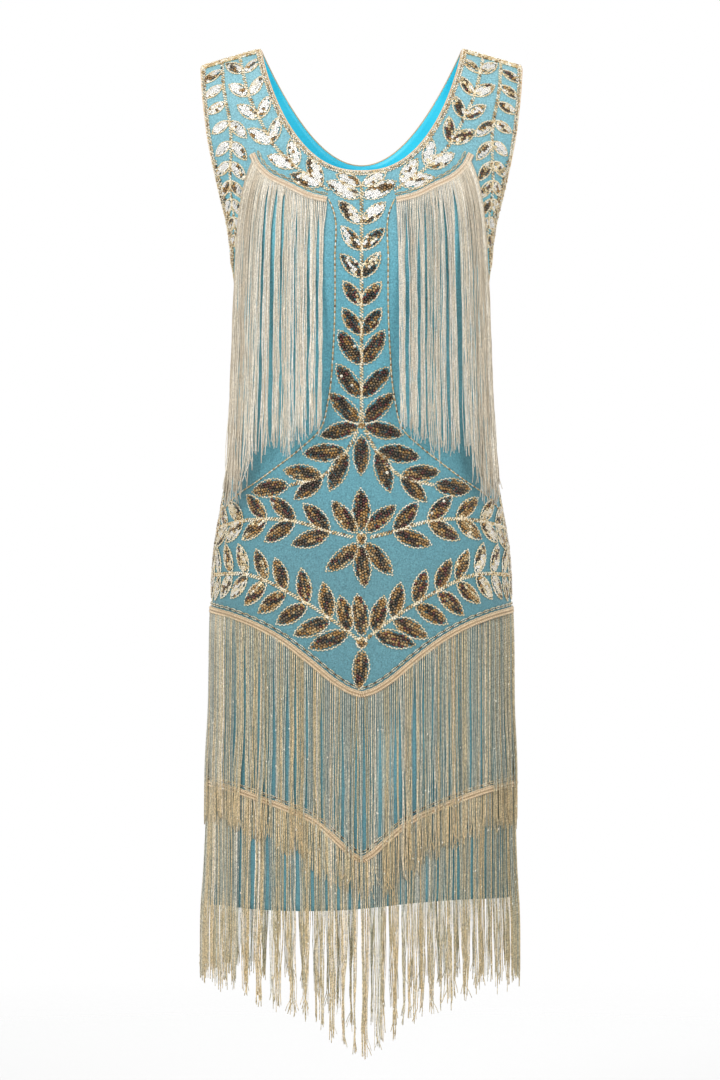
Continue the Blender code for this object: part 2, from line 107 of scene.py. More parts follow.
# Mesh of a half panel of cloth
COLUMNS = 36
NECK_ROWS = 44
TURN_ROWS = 14
LEVEL_ROWS = 84

STEP = 1e-5  # for slopes by difference
RIGHT_ANGLE = math.pi / 2

# Soft creases of the cloth: (side, distance round, height, half length, half width, depth, lean)
# A crease leans by this distance round for each metre down; a depth below 0 is a ridge.
CREASES = (
    (FRONT, -0.152, -0.268, 0.030, 0.0075, 0.0016, 0.9),
    (FRONT, 0.149, -0.262, 0.034, 0.0080, 0.0017, -0.8),
    (FRONT, -0.120, -0.330, 0.062, 0.0090, 0.0011, 0.10),
    (FRONT, 0.126, -0.345, 0.054, 0.0085, 0.0012, -0.14),
    (FRONT, -0.078, -0.392, 0.070, 0.0100, 0.0009, 0.05),
    (FRONT, 0.086, -0.375, 0.078, 0.0110, -0.0008, -0.04),
    (FRONT, -0.014, -0.628, 0.050, 0.0120, 0.0008, 0.12),
    (FRONT, 0.064, -0.668, 0.090, 0.0130, 0.0010, -0.06),
    (FRONT, -0.094, -0.700, 0.110, 0.0140, 0.0012, 0.05),
    (FRONT, 0.142, -0.730, 0.120, 0.0120, -0.0011, 0.03),
    (FRONT, -0.158, -0.640, 0.075, 0.0110, 0.0012, -0.08),
    (FRONT, 0.028, -0.800, 0.100, 0.0150, -0.0010, 0.02),
    (FRONT, -0.050, -0.860, 0.085, 0.0120, 0.0011, -0.03),
    (FRONT, 0.104, -0.850, 0.095, 0.0130, 0.0012, 0.04),
    (BACK, -0.140, -0.275, 0.036, 0.0085, 0.0017, 0.8),
    (BACK, 0.144, -0.280, 0.032, 0.0080, 0.0016, -0.9),
    (BACK, -0.060, -0.330, 0.080, 0.0120, 0.0014, 0.05),
    (BACK, 0.068, -0.345, 0.070, 0.0110, 0.0012, -0.08),
    (BACK, 0.010, -0.395, 0.060, 0.0130, -0.0012, 0.02),
    (BACK, -0.108, -0.655, 0.090, 0.0130, 0.0012, -0.05),
    (BACK, 0.092, -0.690, 0.105, 0.0140, 0.0010, 0.06),
    (BACK, -0.030, -0.780, 0.110, 0.0140, 0.0012, 0.03),
    (BACK, 0.150, -0.800, 0.090, 0.0120, -0.0010, -0.02),
    (BACK, 0.040, -0.870, 0.080, 0.0130, 0.0011, 0.04),
)
SEAM_DEEP = 0.0006
SEAM_WIDE = 0.0022
SEAM_STARTS = 0.02  # the groove of a side seam deepens over this length below the underarm


# ---------------------------------------------------------------- the form


def smooth_table(table, column, key):
    """A column of a table read as a smooth curve: between rows, the cubic with slopes of np.gradient."""
    rows = np.array(table, float)
    if rows[0, 0] > rows[-1, 0]:
        rows = rows[::-1]
    at, value = rows[:, 0], rows[:, column]
    slope = np.gradient(value, at)
    key = np.clip(key, at[0], at[-1])
    i = np.clip(np.searchsorted(at, key) - 1, 0, len(at) - 2)
    span = at[i + 1] - at[i]
    t = (key - at[i]) / span
    start = (1 + 2 * t) * (1 - t) ** 2 * value[i] + t * (1 - t) ** 2 * span * slope[i]
    end = t * t * (3 - 2 * t) * value[i + 1] + t * t * (t - 1) * span * slope[i + 1]
    return start + end


def section(height):
    """Half width, front depth and back depth at a height; the depths close up over the shoulder."""
    over = np.clip(1 + height / SHOULDER_ROUND, 0, 1)
    turning = np.sqrt(1 - over**2)
    return (
        smooth_table(FIGURE, 1, height),
        smooth_table(FIGURE, 2, height) * turning,
        smooth_table(FIGURE, 3, height) * turning,
    )


def unit_curve(angle):
    """The point of |x|^n + |y|^n = 1 in the direction of an angle from the front."""
    s, c = np.sin(angle), np.cos(angle)
    size = (np.abs(s) ** SECTION_CURVE + np.abs(c) ** SECTION_CURVE) ** (-1 / SECTION_CURVE)
    return s * size, c * size


def angle_at(x, height):
    """The angle at which the front of the form passes a given x."""
    share = np.clip(np.abs(x) / section(height)[0], 0, 1)
    other = (1 - share**SECTION_CURVE) ** (1 / SECTION_CURVE)
    return np.sign(x) * np.arctan2(share, other)


def face_angle(x, height, side):
    """The angle at which a side of the form passes a given x."""
    angle = angle_at(x, height)
    return angle if side == FRONT else math.pi - angle


def bust_mound(x, height):
    """How far a bust mound stands out: a bell curve across and another up and down."""
    across = (np.abs(x) - BUST_X) / BUST_WIDE
    up = (height - BUST_Z) / BUST_TALL
    return BUST_OUT * np.exp(-(across**2) - up**2)


def form(angle, height):
    """Points of the form: sections |x/w|^n + |y/d|^n = 1, with bust, skirt waves and sloped shoulders."""
    angle, height = np.broadcast_arrays(angle, np.minimum(height, 0.0))
    half_width, front, back = section(height)
    across, along = unit_curve(angle)
    x = half_width * across
    y = -np.where(along > 0, front, back) * along
    y = y - bust_mound(x, height) * np.clip(along, 0, 1)
    grown = np.clip((WAVES_FROM - height) / (WAVES_FROM + HEM), 0, 1) ** WAVES_GROW
    waves = sum(share * np.sin(count * angle + math.radians(phase)) for count, share, phase in SKIRT_WAVES)
    swell = 1 + WAVE_OUT * grown * waves / np.maximum(np.hypot(x, y), SHOULDER_ROUND)
    outside = np.abs(x) - NECK_HALF_WIDTH
    outside = (outside + np.sqrt(outside**2 + SLOPE_STARTS_IN**2)) / 2
    fade = np.clip(1 + height / SLOPE_FADES_BY, 0, 1) ** 2
    return np.stack([x * swell, y * swell, height - SHOULDER_SLOPE * outside * fade], axis=-1)


def eased(value, low, high):
    """0 below one value, 1 above another, and 3t^2 - 2t^3 between."""
    t = np.clip((value - low) / (high - low), 0, 1)
    return t * t * (3 - 2 * t)


def unit(vectors):
    """Vectors of length 1 in the same directions."""
    return vectors / np.linalg.norm(vectors, axis=-1, keepdims=True)


def lengths(line):
    """The length along a broken line at each of its points."""
    return np.concatenate([[0], np.cumsum(np.linalg.norm(np.diff(line, axis=0), axis=1))])


def read_off(where, length, *columns):
    """Each column, which goes with these lengths along a line, read at other lengths."""
    return [np.interp(where, length, column) for column in columns]


def by_turns(count):
    """-1 and 1 by turns."""
    return np.where(np.arange(count) % 2, 1.0, -1.0)


def slopes(angle, height):
    """The form's two slopes, round the body and up it, by central difference."""
    height = np.minimum(height, -2 * STEP)
    around = (form(angle + STEP, height) - form(angle - STEP, height)) / (2 * STEP)
    up = (form(angle, height + STEP) - form(angle, height - STEP)) / (2 * STEP)
    return around, up


def normal(angle, height):
    """The form's outward direction, the cross product of its slopes."""
    return unit(np.cross(*slopes(angle, height)))


def slid(angle, height, move):
    """The angle and height that a small move along the form's face leads to, by least squares."""
    around, up = slopes(angle, height)
    aa, au, uu = (around**2).sum(-1), (around * up).sum(-1), (up**2).sum(-1)
    ma, mu = (move * around).sum(-1), (move * up).sum(-1)
    scale = aa * uu - au**2
    return angle + (ma * uu - mu * au) / scale, height + (mu * aa - ma * au) / scale


# ---------------------------------------------------------------- the form laid out flat

LAY_HEIGHTS = np.linspace(-HEM, 0, 320)
LAY_TURNS = np.linspace(0, 1.35 * RIGHT_ANGLE, 421)
LAY_DISTANCES = np.linspace(0, 0.300, 601)
CENTRE = {FRONT: 0.0, BACK: math.pi}


def lay_out(side):
    """Distance round the cloth at each height and turn, and the turn at each height and distance."""
    points = form(CENTRE[side] + LAY_TURNS[None, :], LAY_HEIGHTS[:, None])
    steps = np.linalg.norm(np.diff(points, axis=1), axis=-1)
    distance = np.concatenate([np.zeros((len(points), 1)), np.cumsum(steps, axis=1)], axis=1)
    turn = np.stack([np.interp(LAY_DISTANCES, row, LAY_TURNS) for row in distance])
    return distance, turn


def read_grid(grid, rows, row, columns, column):
    """Reads a table between its rows and columns, in proportion."""
    r = np.clip((row - rows[0]) / (rows[1] - rows[0]), 0, len(rows) - 1.001)
    c = np.clip((column - columns[0]) / (columns[1] - columns[0]), 0, len(columns) - 1.001)
    i, j = r.astype(int), c.astype(int)
    u, v = r - i, c - j
    low = grid[i, j] * (1 - v) + grid[i, j + 1] * v
    high = grid[i + 1, j] * (1 - v) + grid[i + 1, j + 1] * v
    return low * (1 - u) + high * u


LAID = {side: lay_out(side) for side in (FRONT, BACK)}


def turn_at(side, across, height):
    """The angle of the point this far round from a side's centre line, rightwards as seen from outside."""
    across, height = np.broadcast_arrays(np.asarray(across, float), height)
    turn = read_grid(LAID[side][1], LAY_HEIGHTS, height, LAY_DISTANCES, np.abs(across))
    return CENTRE[side] + np.sign(across) * turn


def across_at(side, angle, height):
    """How far round from a side's centre line an angle is, rightwards as seen from outside."""
    turn = (angle - CENTRE[side] + math.pi) % (2 * math.pi) - math.pi
    turn, height = np.broadcast_arrays(turn, height)
    distance = read_grid(LAID[side][0], LAY_HEIGHTS, height, LAY_TURNS, np.abs(turn))
    return np.sign(turn) * distance


def relief(angle, height):
    """How far the cloth stands off the form: creases as bell-shaped troughs, and the side seams."""
    angle, height = np.broadcast_arrays(np.asarray(angle, float), height)
    total = np.zeros(angle.shape)
    for side, where, middle, half_long, half_wide, deep, lean in CREASES:
        down = middle - height
        off = across_at(side, angle, height) - where - lean * down
        total -= deep * np.exp(-((off / half_wide) ** 2) - (down / half_long) ** 2)
    turn = (angle + math.pi) % (2 * math.pi) - math.pi
    to_seam = (np.abs(turn) - RIGHT_ANGLE) * section(height)[0]
    below_arm = np.clip((-UNDERARM - height) / SEAM_STARTS, 0, 1)
    return total - SEAM_DEEP * below_arm * np.exp(-((to_seam / SEAM_WIDE) ** 2))


def on_cloth(angle, height, out):
    """A point this far out from the creased cloth."""
    return form(angle, height) + normal(angle, height) * (relief(angle, height) + out)[..., None]


# ---------------------------------------------------------------- meshes and materials


def piece(name, points, faces, finishes, which=None, uv=None, values=None, smooth=True):
    """A mesh object from whole arrays, riding on the dress, with its materials.

    faces is a list of arrays, a row of point numbers for each face. which is each face's material, uv
    holds a pair for each face corner, or for each point, and values hold a number for each point.
    """
    mesh = bpy.data.meshes.new(name)
    corners = np.concatenate([face.reshape(-1) for face in faces]).astype(np.int32)
    sizes = np.concatenate([np.full(len(face), face.shape[1]) for face in faces])
    mesh.vertices.add(len(points))
    mesh.vertices.foreach_set("co", points.astype(np.float32).reshape(-1))
    mesh.loops.add(len(corners))
    mesh.loops.foreach_set("vertex_index", corners)
    mesh.polygons.add(len(sizes))
    mesh.polygons.foreach_set("loop_start", (np.cumsum(sizes) - sizes).astype(np.int32))
    mesh.polygons.foreach_set("use_smooth", np.full(len(sizes), smooth))
    if which is not None:
        mesh.polygons.foreach_set("material_index", which.astype(np.int32))
    mesh.update(calc_edges=True)
    if uv is not None:
        if len(uv) == len(points):
            uv = uv[corners]
        layer = mesh.uv_layers.new(name="laid_out")
        layer.data.foreach_set("uv", uv.astype(np.float32).reshape(-1))
    for key, value in (values or {}).items():
        layer = mesh.attributes.new(key, "FLOAT", "POINT")
        layer.data.foreach_set("value", value.astype(np.float32))
    for finish in finishes:
        mesh.materials.append(finish)
    made = bpy.data.objects.new(name, mesh)
    bpy.context.scene.collection.objects.link(made)
    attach(made, "root")
    return made


def finish(name, roughness, metallic=0.0, **sockets):
    """A material, its node tree and its shader, with the shader's plain values set on it."""
    made = bpy.data.materials.new(name)
    made.use_nodes = True
    shader = made.node_tree.nodes["Principled BSDF"]
    shader.inputs["Roughness"].default_value = roughness
    shader.inputs["Metallic"].default_value = metallic
    for key, value in sockets.items():
        shader.inputs[key.replace("_", " ")].default_value = value
    return made, made.node_tree, shader


def node(tree, kind, inputs=None, **settings):
    """A node with its settings; each input is a number or another node's socket."""
    made = tree.nodes.new(kind)
    for key, value in settings.items():
        setattr(made, key, value)
    for key, value in (inputs or {}).items():
        if isinstance(value, bpy.types.NodeSocket):
            tree.links.new(value, made.inputs[key])
        else:
            made.inputs[key].default_value = value
    return made


def ramp(tree, factor, stops):
    """A colour ramp: stops are (place, (red, green, blue))."""
    made = node(tree, "ShaderNodeValToRGB", {"Fac": factor})
    elements = made.color_ramp.elements
    while len(elements) < len(stops):
        elements.new(0.5)
    for element, (place, colour) in zip(elements, stops):
        element.position = place
        element.color = (*colour, 1.0)
    return made.outputs["Color"]


def maths(tree, operation, a, b=0.0, c=0.0):
    """What a node makes of up to three numbers or sockets."""
    return node(tree, "ShaderNodeMath", {0: a, 1: b, 2: c}, operation=operation).outputs["Value"]


def times(tree, a, b, c=None):
    """a b, or a b + c."""
    if c is None:
        return maths(tree, "MULTIPLY", a, b)
    return maths(tree, "MULTIPLY_ADD", a, b, c)


def plus(tree, a, b):
    """a + b."""
    return maths(tree, "ADD", a, b)


def mixed(tree, factor, a, b, blend="MIX"):
    """Two colours mixed; each is a socket or (red, green, blue)."""
    a, b = (each if isinstance(each, bpy.types.NodeSocket) else (*each, 1.0) for each in (a, b))
    inputs = {0: factor, 6: a, 7: b}
    return node(tree, "ShaderNodeMix", inputs, data_type="RGBA", blend_type=blend).outputs[2]


def painted(tree, shader, colour, factor, dark, light):
    """Gives the shader a colour, times a shade between a dark and a light one."""
    shade = mixed(tree, factor, dark, light)
    tree.links.new(mixed(tree, 1.0, colour, shade, "MULTIPLY"), shader.inputs["Base Color"])


def bumped(tree, shader, height, strength, distance):
    """Gives the shader a relief, which is this many metres deep where the height is 1."""
    made = node(tree, "ShaderNodeBump", {"Height": height, "Strength": strength, "Distance": distance})
    tree.links.new(made.outputs["Normal"], shader.inputs["Normal"])


def value_of(tree, name):
    """A number that the mesh holds for each point."""
    return node(tree, "ShaderNodeAttribute", attribute_name=name).outputs["Fac"]


def flat_place(tree, scale=(1.0, 1.0, 1.0)):
    """The laid-out place of the surface, scaled: (across, along, 0)."""
    uv = node(tree, "ShaderNodeUVMap", uv_map="laid_out").outputs["UV"]
    return node(tree, "ShaderNodeMapping", {"Vector": uv, "Scale": scale}).outputs["Vector"]


def flat_axes(tree):
    """The two parts of the surface's laid-out place: across it and along it."""
    split = node(tree, "ShaderNodeSeparateXYZ", {"Vector": flat_place(tree)})
    return split.outputs["X"], split.outputs["Y"]


def noise(tree, place, scale, detail=2.0, roughness=0.5):
    """Soft noise from 0 to 1, this many patches to a unit of the place."""
    inputs = {"Vector": place, "Scale": scale, "Detail": detail, "Roughness": roughness}
    return node(tree, "ShaderNodeTexNoise", inputs).outputs["Fac"]


def spread(tree, value, low, high, first=0.0, last=1.0):
    """A value that runs from first to last as another goes from low to high, and stays there."""
    limits = {"Value": value, "From Min": low, "From Max": high, "To Min": first, "To Max": last}
    return node(tree, "ShaderNodeMapRange", limits).outputs["Result"]


def object_place(tree):
    """The place in the object's own metres."""
    return node(tree, "ShaderNodeTexCoord").outputs["Object"]


NET_PITCH = 0.0026
# Painted light: the satin is painted paler towards the shoulders, where light from above falls: (height
# where it starts, height where it is full, share, colour)
SATIN_TOP_LIGHT_TINTS = (
    (-0.60, -0.36, 0.36, (0.110, 0.480, 0.620)),
    (-0.25, -0.02, 0.58, (0.360, 0.640, 0.700)),
)
# Painted light under the bust fringe: the satin is painted lighter there to lift the fringe's shadow:
# heights where it fades in and out, and distances from the middle
FRINGE_SHADOW_LIFT_FROM = (-0.48, -0.38)
FRINGE_SHADOW_LIFT_UP_TO = (-0.19, -0.15)
FRINGE_SHADOW_LIFT_ASIDE = (0.038, 0.056)


def net_finish():
    """Fine net over the satin: a diamond mesh of paler threads, slubs running down it, and a soft sheen.

    The satin is painted paler towards the shoulders, as light from above, and painted lighter under the bust
    fringe, to lift the fringe's shadow.
    """
    made, tree, shader = finish("net_over_satin", 0.52, Sheen_Weight=0.35, Sheen_Roughness=0.35)
    shader.inputs["Sheen Tint"].default_value = (0.75, 0.93, 1.0, 1.0)
    across, up = flat_axes(tree)
    slants = plus(tree, across, up), maths(tree, "SUBTRACT", across, up)
    waves = [maths(tree, "SINE", times(tree, slant, 2 * math.pi / NET_PITCH)) for slant in slants]
    hole = times(tree, *(maths(tree, "ABSOLUTE", wave) for wave in waves))
    slub = noise(tree, flat_place(tree, (1400.0, 60.0, 1.0)), 1.0, 2.0)
    cloud = noise(tree, object_place(tree), 9.0, 3.0)
    satin = ramp(tree, cloud, ((0.30, (0.047, 0.176, 0.214)), (0.70, (0.060, 0.206, 0.242))))
    thread = mixed(tree, slub, (0.074, 0.234, 0.274), (0.215, 0.415, 0.460))
    colour = mixed(tree, maths(tree, "SUBTRACT", 0.75, hole), satin, thread)
    spot = node(tree, "ShaderNodeSeparateXYZ", {"Vector": object_place(tree)})
    height, aside = spot.outputs["Z"], maths(tree, "ABSOLUTE", spot.outputs["X"])
    # painted light: the satin is mixed towards paler tints higher up, where light from above falls
    for low, high, most, tint in SATIN_TOP_LIGHT_TINTS:
        colour = mixed(tree, spread(tree, height, low, high, 0.0, most), colour, tint)
    # painted light: lighter satin under the bust fringe, which lifts the shadow that the fringe casts
    fringe_shadow_lift = times(tree, spread(tree, height, *FRINGE_SHADOW_LIFT_FROM), spread(tree, height, *FRINGE_SHADOW_LIFT_UP_TO, 1.0, 0.0))
    fringe_shadow_lift = times(tree, fringe_shadow_lift, spread(tree, aside, *FRINGE_SHADOW_LIFT_ASIDE, 0.0, 0.40))
    colour = mixed(tree, fringe_shadow_lift, colour, (0.250, 0.720, 0.840))
    grain = spread(tree, noise(tree, object_place(tree), 620.0, 3.0, 0.75), 0.34, 0.66)
    painted(tree, shader, colour, grain, (0.56, 0.61, 0.62), (1.42, 1.35, 1.34))
    raised = plus(tree, maths(tree, "SUBTRACT", 1.0, hole), times(tree, slub, 0.6))
    bumped(tree, shader, plus(tree, raised, grain), 0.4, 0.0003)
    return made


def lining_finish():
    """Bright turquoise satin, painted brighter than its own colour to lift the shade inside the dress: long
    floats that run round the body, with a slight shine.
    """
    made, tree, shader = finish("satin_lining", 0.38, Sheen_Weight=0.15)
    floats = noise(tree, flat_place(tree, (90.0, 2600.0, 1.0)), 1.0, 2.0)
    cloud = noise(tree, object_place(tree), 14.0, 2.0)
    # painted light: the satin's colour is set brighter than its own, to lift the shade inside the dress
    colour = ramp(tree, cloud, ((0.3, (0.045, 0.740, 0.950)), (0.7, (0.060, 0.810, 1.000))))
    painted(tree, shader, colour, floats, (0.80, 0.84, 0.86), (1.18, 1.14, 1.12))
    bumped(tree, shader, floats, 0.25, 0.0002)
    return made


def sequin_finish():
    """Cupped metal sequins: a sewing hole, a painted highlight ring, a rim in painted shade where the next
    one lies over it, and a tone.

    The tone runs from black through red glints, brown, amber and gold to silver white.
    """
    made, tree, shader = finish("sequins", 0.30)
    tone, rim = value_of(tree, "tone"), value_of(tree, "rim")
    metal = ramp(
        tree,
        tone,
        (
            (0.00, (0.016, 0.012, 0.012)),
            (0.07, (0.190, 0.022, 0.026)),
            (0.13, (0.060, 0.036, 0.024)),
            (0.28, (0.250, 0.185, 0.120)),
            (0.42, (0.560, 0.290, 0.075)),
            (0.60, (0.860, 0.700, 0.400)),
            (0.78, (1.000, 0.985, 0.940)),
        ),
    )
    pale = spread(tree, tone, 0.48, 0.72)
    tree.links.new(spread(tree, tone, 0.30, 0.75, 0.85, 0.12), shader.inputs["Metallic"])
    # painted highlight: a pale ring across each dark sequin, where its cup would catch the light
    ring = times(tree, spread(tree, rim, 0.42, 0.60), spread(tree, rim, 0.66, 0.84, 0.55, 0.0))
    ring = times(tree, ring, spread(tree, tone, 0.10, 0.30, 1.0, 0.25))
    metal = mixed(tree, ring, metal, (0.420, 0.370, 0.300))
    # painted shade: the rim is darkened where the next sequin overlaps it
    edge = spread(tree, times(tree, pale, 0.08, rim), 0.80, 0.97)
    edge = times(tree, edge, times(tree, pale, -0.14, 0.74))
    shaded = mixed(tree, edge, metal, (0.030, 0.022, 0.016))
    hole = spread(tree, times(tree, pale, -0.10, rim), 0.20, 0.34, 1.0, 0.0)
    hole = times(tree, hole, times(tree, pale, -0.05, 0.88))
    tree.links.new(mixed(tree, hole, shaded, (0.115, 0.110, 0.095)), shader.inputs["Base Color"])
    return made


def bead_finish():
    """Small lined glass and metal beads, from bronze through gold to cream."""
    made, tree, shader = finish("beads", 0.36, 0.25, Coat_Weight=0.15, Coat_Roughness=0.15)
    tone = value_of(tree, "tone")
    colour = ramp(
        tree,
        tone,
        (
            (0.00, (0.060, 0.038, 0.022)),
            (0.25, (0.340, 0.200, 0.075)),
            (0.50, (0.660, 0.470, 0.220)),
            (0.75, (0.860, 0.740, 0.500)),
            (1.00, (0.980, 0.940, 0.830)),
        ),
    )
    wear = noise(tree, object_place(tree), 900.0, 1.0)
    painted(tree, shader, colour, wear, (0.80, 0.78, 0.74), (1.1, 1.1, 1.1))
    return made


GIMP_STITCH = 0.0016
GIMP_SLANT = 0.004


def gimp_finish(name, dark, light):
    """Woven gimp: threads that cross its width, slanting one way and then the other."""
    made, tree, shader = finish(name, 0.6, Sheen_Weight=0.2)
    length, width = flat_axes(tree)
    bend = maths(tree, "ABSOLUTE", maths(tree, "SUBTRACT", width, 0.5))
    along = plus(tree, length, times(tree, bend, GIMP_SLANT))
    stitch = maths(tree, "SINE", times(tree, along, 2 * math.pi / GIMP_STITCH))
    stitch = times(tree, stitch, 0.5, 0.5)
    fuzz = noise(tree, object_place(tree), 700.0, 2.0)
    tone = times(tree, value_of(tree, "tone"), spread(tree, fuzz, 0.3, 0.7, 0.75, 1.15))
    thread = mixed(tree, times(tree, stitch, 0.30, tone), dark, light)
    tree.links.new(thread, shader.inputs["Base Color"])
    bumped(tree, shader, plus(tree, stitch, times(tree, fuzz, 0.5)), 0.6, 0.0005)
    return made


PLIES = 2.0


def yarn_finish(name, stops, twist, fleck_share):
    """Twisted rayon: slanting plies painted light and dark as light and shade along the twist, flecks along
    them, a tone for each strand and a silky shine.
    """
    made, tree, shader = finish(name, 0.42, Sheen_Weight=0.25, Sheen_Roughness=0.3)
    around, length = flat_axes(tree)
    turns = times(tree, length, 1 / twist, times(tree, around, PLIES))
    ply = times(tree, maths(tree, "SINE", times(tree, turns, 2 * math.pi)), 0.5, 0.5)
    colour = ramp(tree, value_of(tree, "tone"), stops)
    spot = node(tree, "ShaderNodeMapping", {"Vector": object_place(tree), "Scale": (1.6, 1.6, 0.8)})
    fleck = spread(tree, noise(tree, spot.outputs["Vector"], 520.0, 2.0, 0.7), 0.36, 0.64)
    flecks = times(tree, maths(tree, "SUBTRACT", fleck, 0.5), fleck_share)
    # painted shade: the plies are painted lighter where they rise and darker in the grooves of the twist;
    # the flecks are random tone
    lit = plus(tree, times(tree, ply, 0.30, 0.35), flecks)
    painted(tree, shader, colour, lit, (0.42, 0.42, 0.40), (1.46, 1.45, 1.44))
    bumped(tree, shader, ply, 0.5, 0.0004)
    return made


NET = net_finish()
LINING = lining_finish()
SEQUIN = sequin_finish()
BEAD = bead_finish()
PEACH_GIMP = gimp_finish("peach_gimp", (0.52, 0.36, 0.22), (0.98, 0.85, 0.66))
SAND_GIMP = gimp_finish("sand_gimp", (0.30, 0.19, 0.09), (0.90, 0.72, 0.48))
BINDING_CORD = gimp_finish("neck_binding", (0.90, 0.60, 0.34), (0.97, 0.74, 0.50))
EDGE_GROUND = gimp_finish("edge_ground", (0.28, 0.30, 0.27), (0.62, 0.61, 0.53))
IVORY_YARN = yarn_finish(
    "ivory_yarn",
    (
        (0.00, (0.60, 0.51, 0.38)),
        (0.35, (0.80, 0.72, 0.58)),
        (0.70, (0.90, 0.84, 0.71)),
        (1.00, (0.99, 0.96, 0.89)),
    ),
    0.0024,
    0.45,
)
SAND_YARN = yarn_finish(
    "sand_yarn",
    (
        (0.00, (0.41, 0.44, 0.39)),
        (0.38, (0.66, 0.65, 0.53)),
        (0.56, (0.70, 0.59, 0.37)),
        (0.76, (0.76, 0.58, 0.32)),
        (1.00, (0.97, 0.89, 0.75)),
    ),
    0.0026,
    0.80,
)


# ---------------------------------------------------------------- cloth


def neck_edge(share, side):
    """(x, height) along half a neckline, |x/w|^m + |z/d|^n = 1, from the shoulder to the centre."""
    deep, m, n = NECK[side]
    turn = RIGHT_ANGLE * share**NECK_STEPS_CLOSE_UP
    x = NECK_HALF_WIDTH * np.clip(np.cos(turn), 0, 1) ** (2 / m)
    return x, -deep * np.sin(turn) ** (2 / n)


def armhole_edge(share):
    """(angle, height) along half an armhole, from the shoulder at 0 to the underarm at 1."""
    down = np.sin(RIGHT_ANGLE * share) ** 2
    return np.arccos(ARMHOLE_OPEN * np.sqrt(1 - down**6)), -UNDERARM * down


def grid_faces(rows, columns):
    """Four-sided faces of a grid whose points run row by row, with its rows going down."""
    at = np.arange(rows * columns).reshape(rows, columns)
    return np.stack([at[1:, :-1], at[1:, 1:], at[:-1, 1:], at[:-1, :-1]], axis=-1).reshape(-1, 4)


def cloth(name, side):
    """A panel: net outside, satin inside, joined round every edge.

    A half patch runs from its neckline and centre line to its armhole and side seam, each row
    straight in angle and height between the two, and it is joined to its mirror image.
    """
    deep = NECK[side][0]
    neck = np.linspace(0, 1, NECK_ROWS + 1)
    turn = np.linspace(0, 1, TURN_ROWS + 1)[1:]
    level = -LEVEL_ROWS_FROM + (LEVEL_ROWS_FROM - HEM) * np.linspace(0, 1, LEVEL_ROWS + 1)[1:]
    neck_x, neck_height = neck_edge(neck, side)
    inner_height = np.concatenate([neck_height, -deep + (deep - LEVEL_ROWS_FROM) * turn, level])
    inner_angle = np.zeros(len(inner_height))
    inner_angle[: NECK_ROWS + 1] = angle_at(neck_x, neck_height)
    arm_angle, arm_height = armhole_edge(neck)
    outer_height = np.concatenate([arm_height, -UNDERARM + (UNDERARM - LEVEL_ROWS_FROM) * turn, level])
    outer_angle = np.full(len(outer_height), RIGHT_ANGLE)
    outer_angle[: NECK_ROWS + 1] = arm_angle
    u = np.linspace(0, 1, COLUMNS + 1)
    angle = inner_angle[:, None] + (outer_angle - inner_angle)[:, None] * u
    height = inner_height[:, None] + (outer_height - inner_height)[:, None] * u
    if side == BACK:
        angle = angle + math.pi
    low = np.clip((HEM_TURNS_FROM - height) / (HEM_TURNS_FROM + HEM), 0, 1)
    outer, inner, flat = [], [], []
    for way in (angle, -angle):
        ripple = HEM_RIPPLE * np.sin(HEM_RIPPLES * way + math.radians(HEM_RIPPLE_PHASE))
        raised = height + low * (HEM_TILT * np.sin(way) + ripple)
        out = normal(way, raised)
        on_seam = np.zeros(way.shape, bool)
        on_seam[0] = True
        on_seam[NECK_ROWS:, -1] = True
        out[on_seam, 1] = 0.0
        out = unit(out)
        face = form(way, raised) + out * relief(way, raised)[..., None]
        outer.append(face.reshape(-1, 3))
        inner.append((face - out * CLOTH).reshape(-1, 3))
        flat.append(np.stack([across_at(side, way, raised), raised], axis=-1).reshape(-1, 2))
    outer, inner, flat = np.concatenate(outer), np.concatenate(inner), np.concatenate(flat)
    faces = grid_faces(*angle.shape)
    faces = np.concatenate([faces, faces[:, ::-1] + angle.size])
    _, first, joined = np.unique(np.round(outer, 6), axis=0, return_index=True, return_inverse=True)
    outer, inner, flat = outer[first], inner[first], flat[first]
    faces = joined.reshape(-1)[faces]
    count = len(outer)
    edges = np.concatenate([faces[:, [k, (k + 1) % 4]] for k in range(4)])
    there, back = edges[:, 0] * count + edges[:, 1], edges[:, 1] * count + edges[:, 0]
    a, b = edges[~np.isin(there, back)].T
    rim = np.stack([b, a, a + count, b + count], axis=1)
    which = np.repeat([0, 1, 0], [len(faces), len(faces), len(rim)])
    return piece(
        name,
        np.concatenate([outer, inner]),
        [faces, faces[:, ::-1] + count, rim],
        [NET, LINING],
        which=which,
        uv=np.concatenate([flat, flat]),
    )


front_cloth = cloth("front_cloth", FRONT)
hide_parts("front_panel")
back_cloth = cloth("back_cloth", BACK)
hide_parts("back_panel")


# ---------------------------------------------------------------- many small shapes


def round_shape(levels, sides):
    """A closed turned shape: a pole, rings at (z, radius), and a pole. Returns points and faces."""
    turn = 2 * math.pi * np.arange(sides) / sides
    flat = np.column_stack([np.cos(turn), np.sin(turn), np.zeros(sides)])
    rings = [r * flat + [0, 0, z] for z, r in levels[1:-1]]
    points = np.concatenate([[[0, 0, levels[0][0]]], *rings, [[0, 0, levels[-1][0]]]])
    last = len(points) - 1
    at = 1 + np.arange(sides)
    following = 1 + (np.arange(sides) + 1) % sides
    triangles = [np.stack([np.zeros(sides, int), following, at], axis=1)]
    quads = []
    for k in range(len(rings) - 1):
        low, high = at + k * sides, at + (k + 1) * sides
        low_next, high_next = following + k * sides, following + (k + 1) * sides
        quads.append(np.stack([low, low_next, high_next, high], axis=1))
    top = (len(rings) - 1) * sides
    triangles.append(np.stack([np.full(sides, last), at + top, following + top], axis=1))
    return points, np.concatenate(triangles), np.concatenate(quads) if quads else np.zeros((0, 4), int)


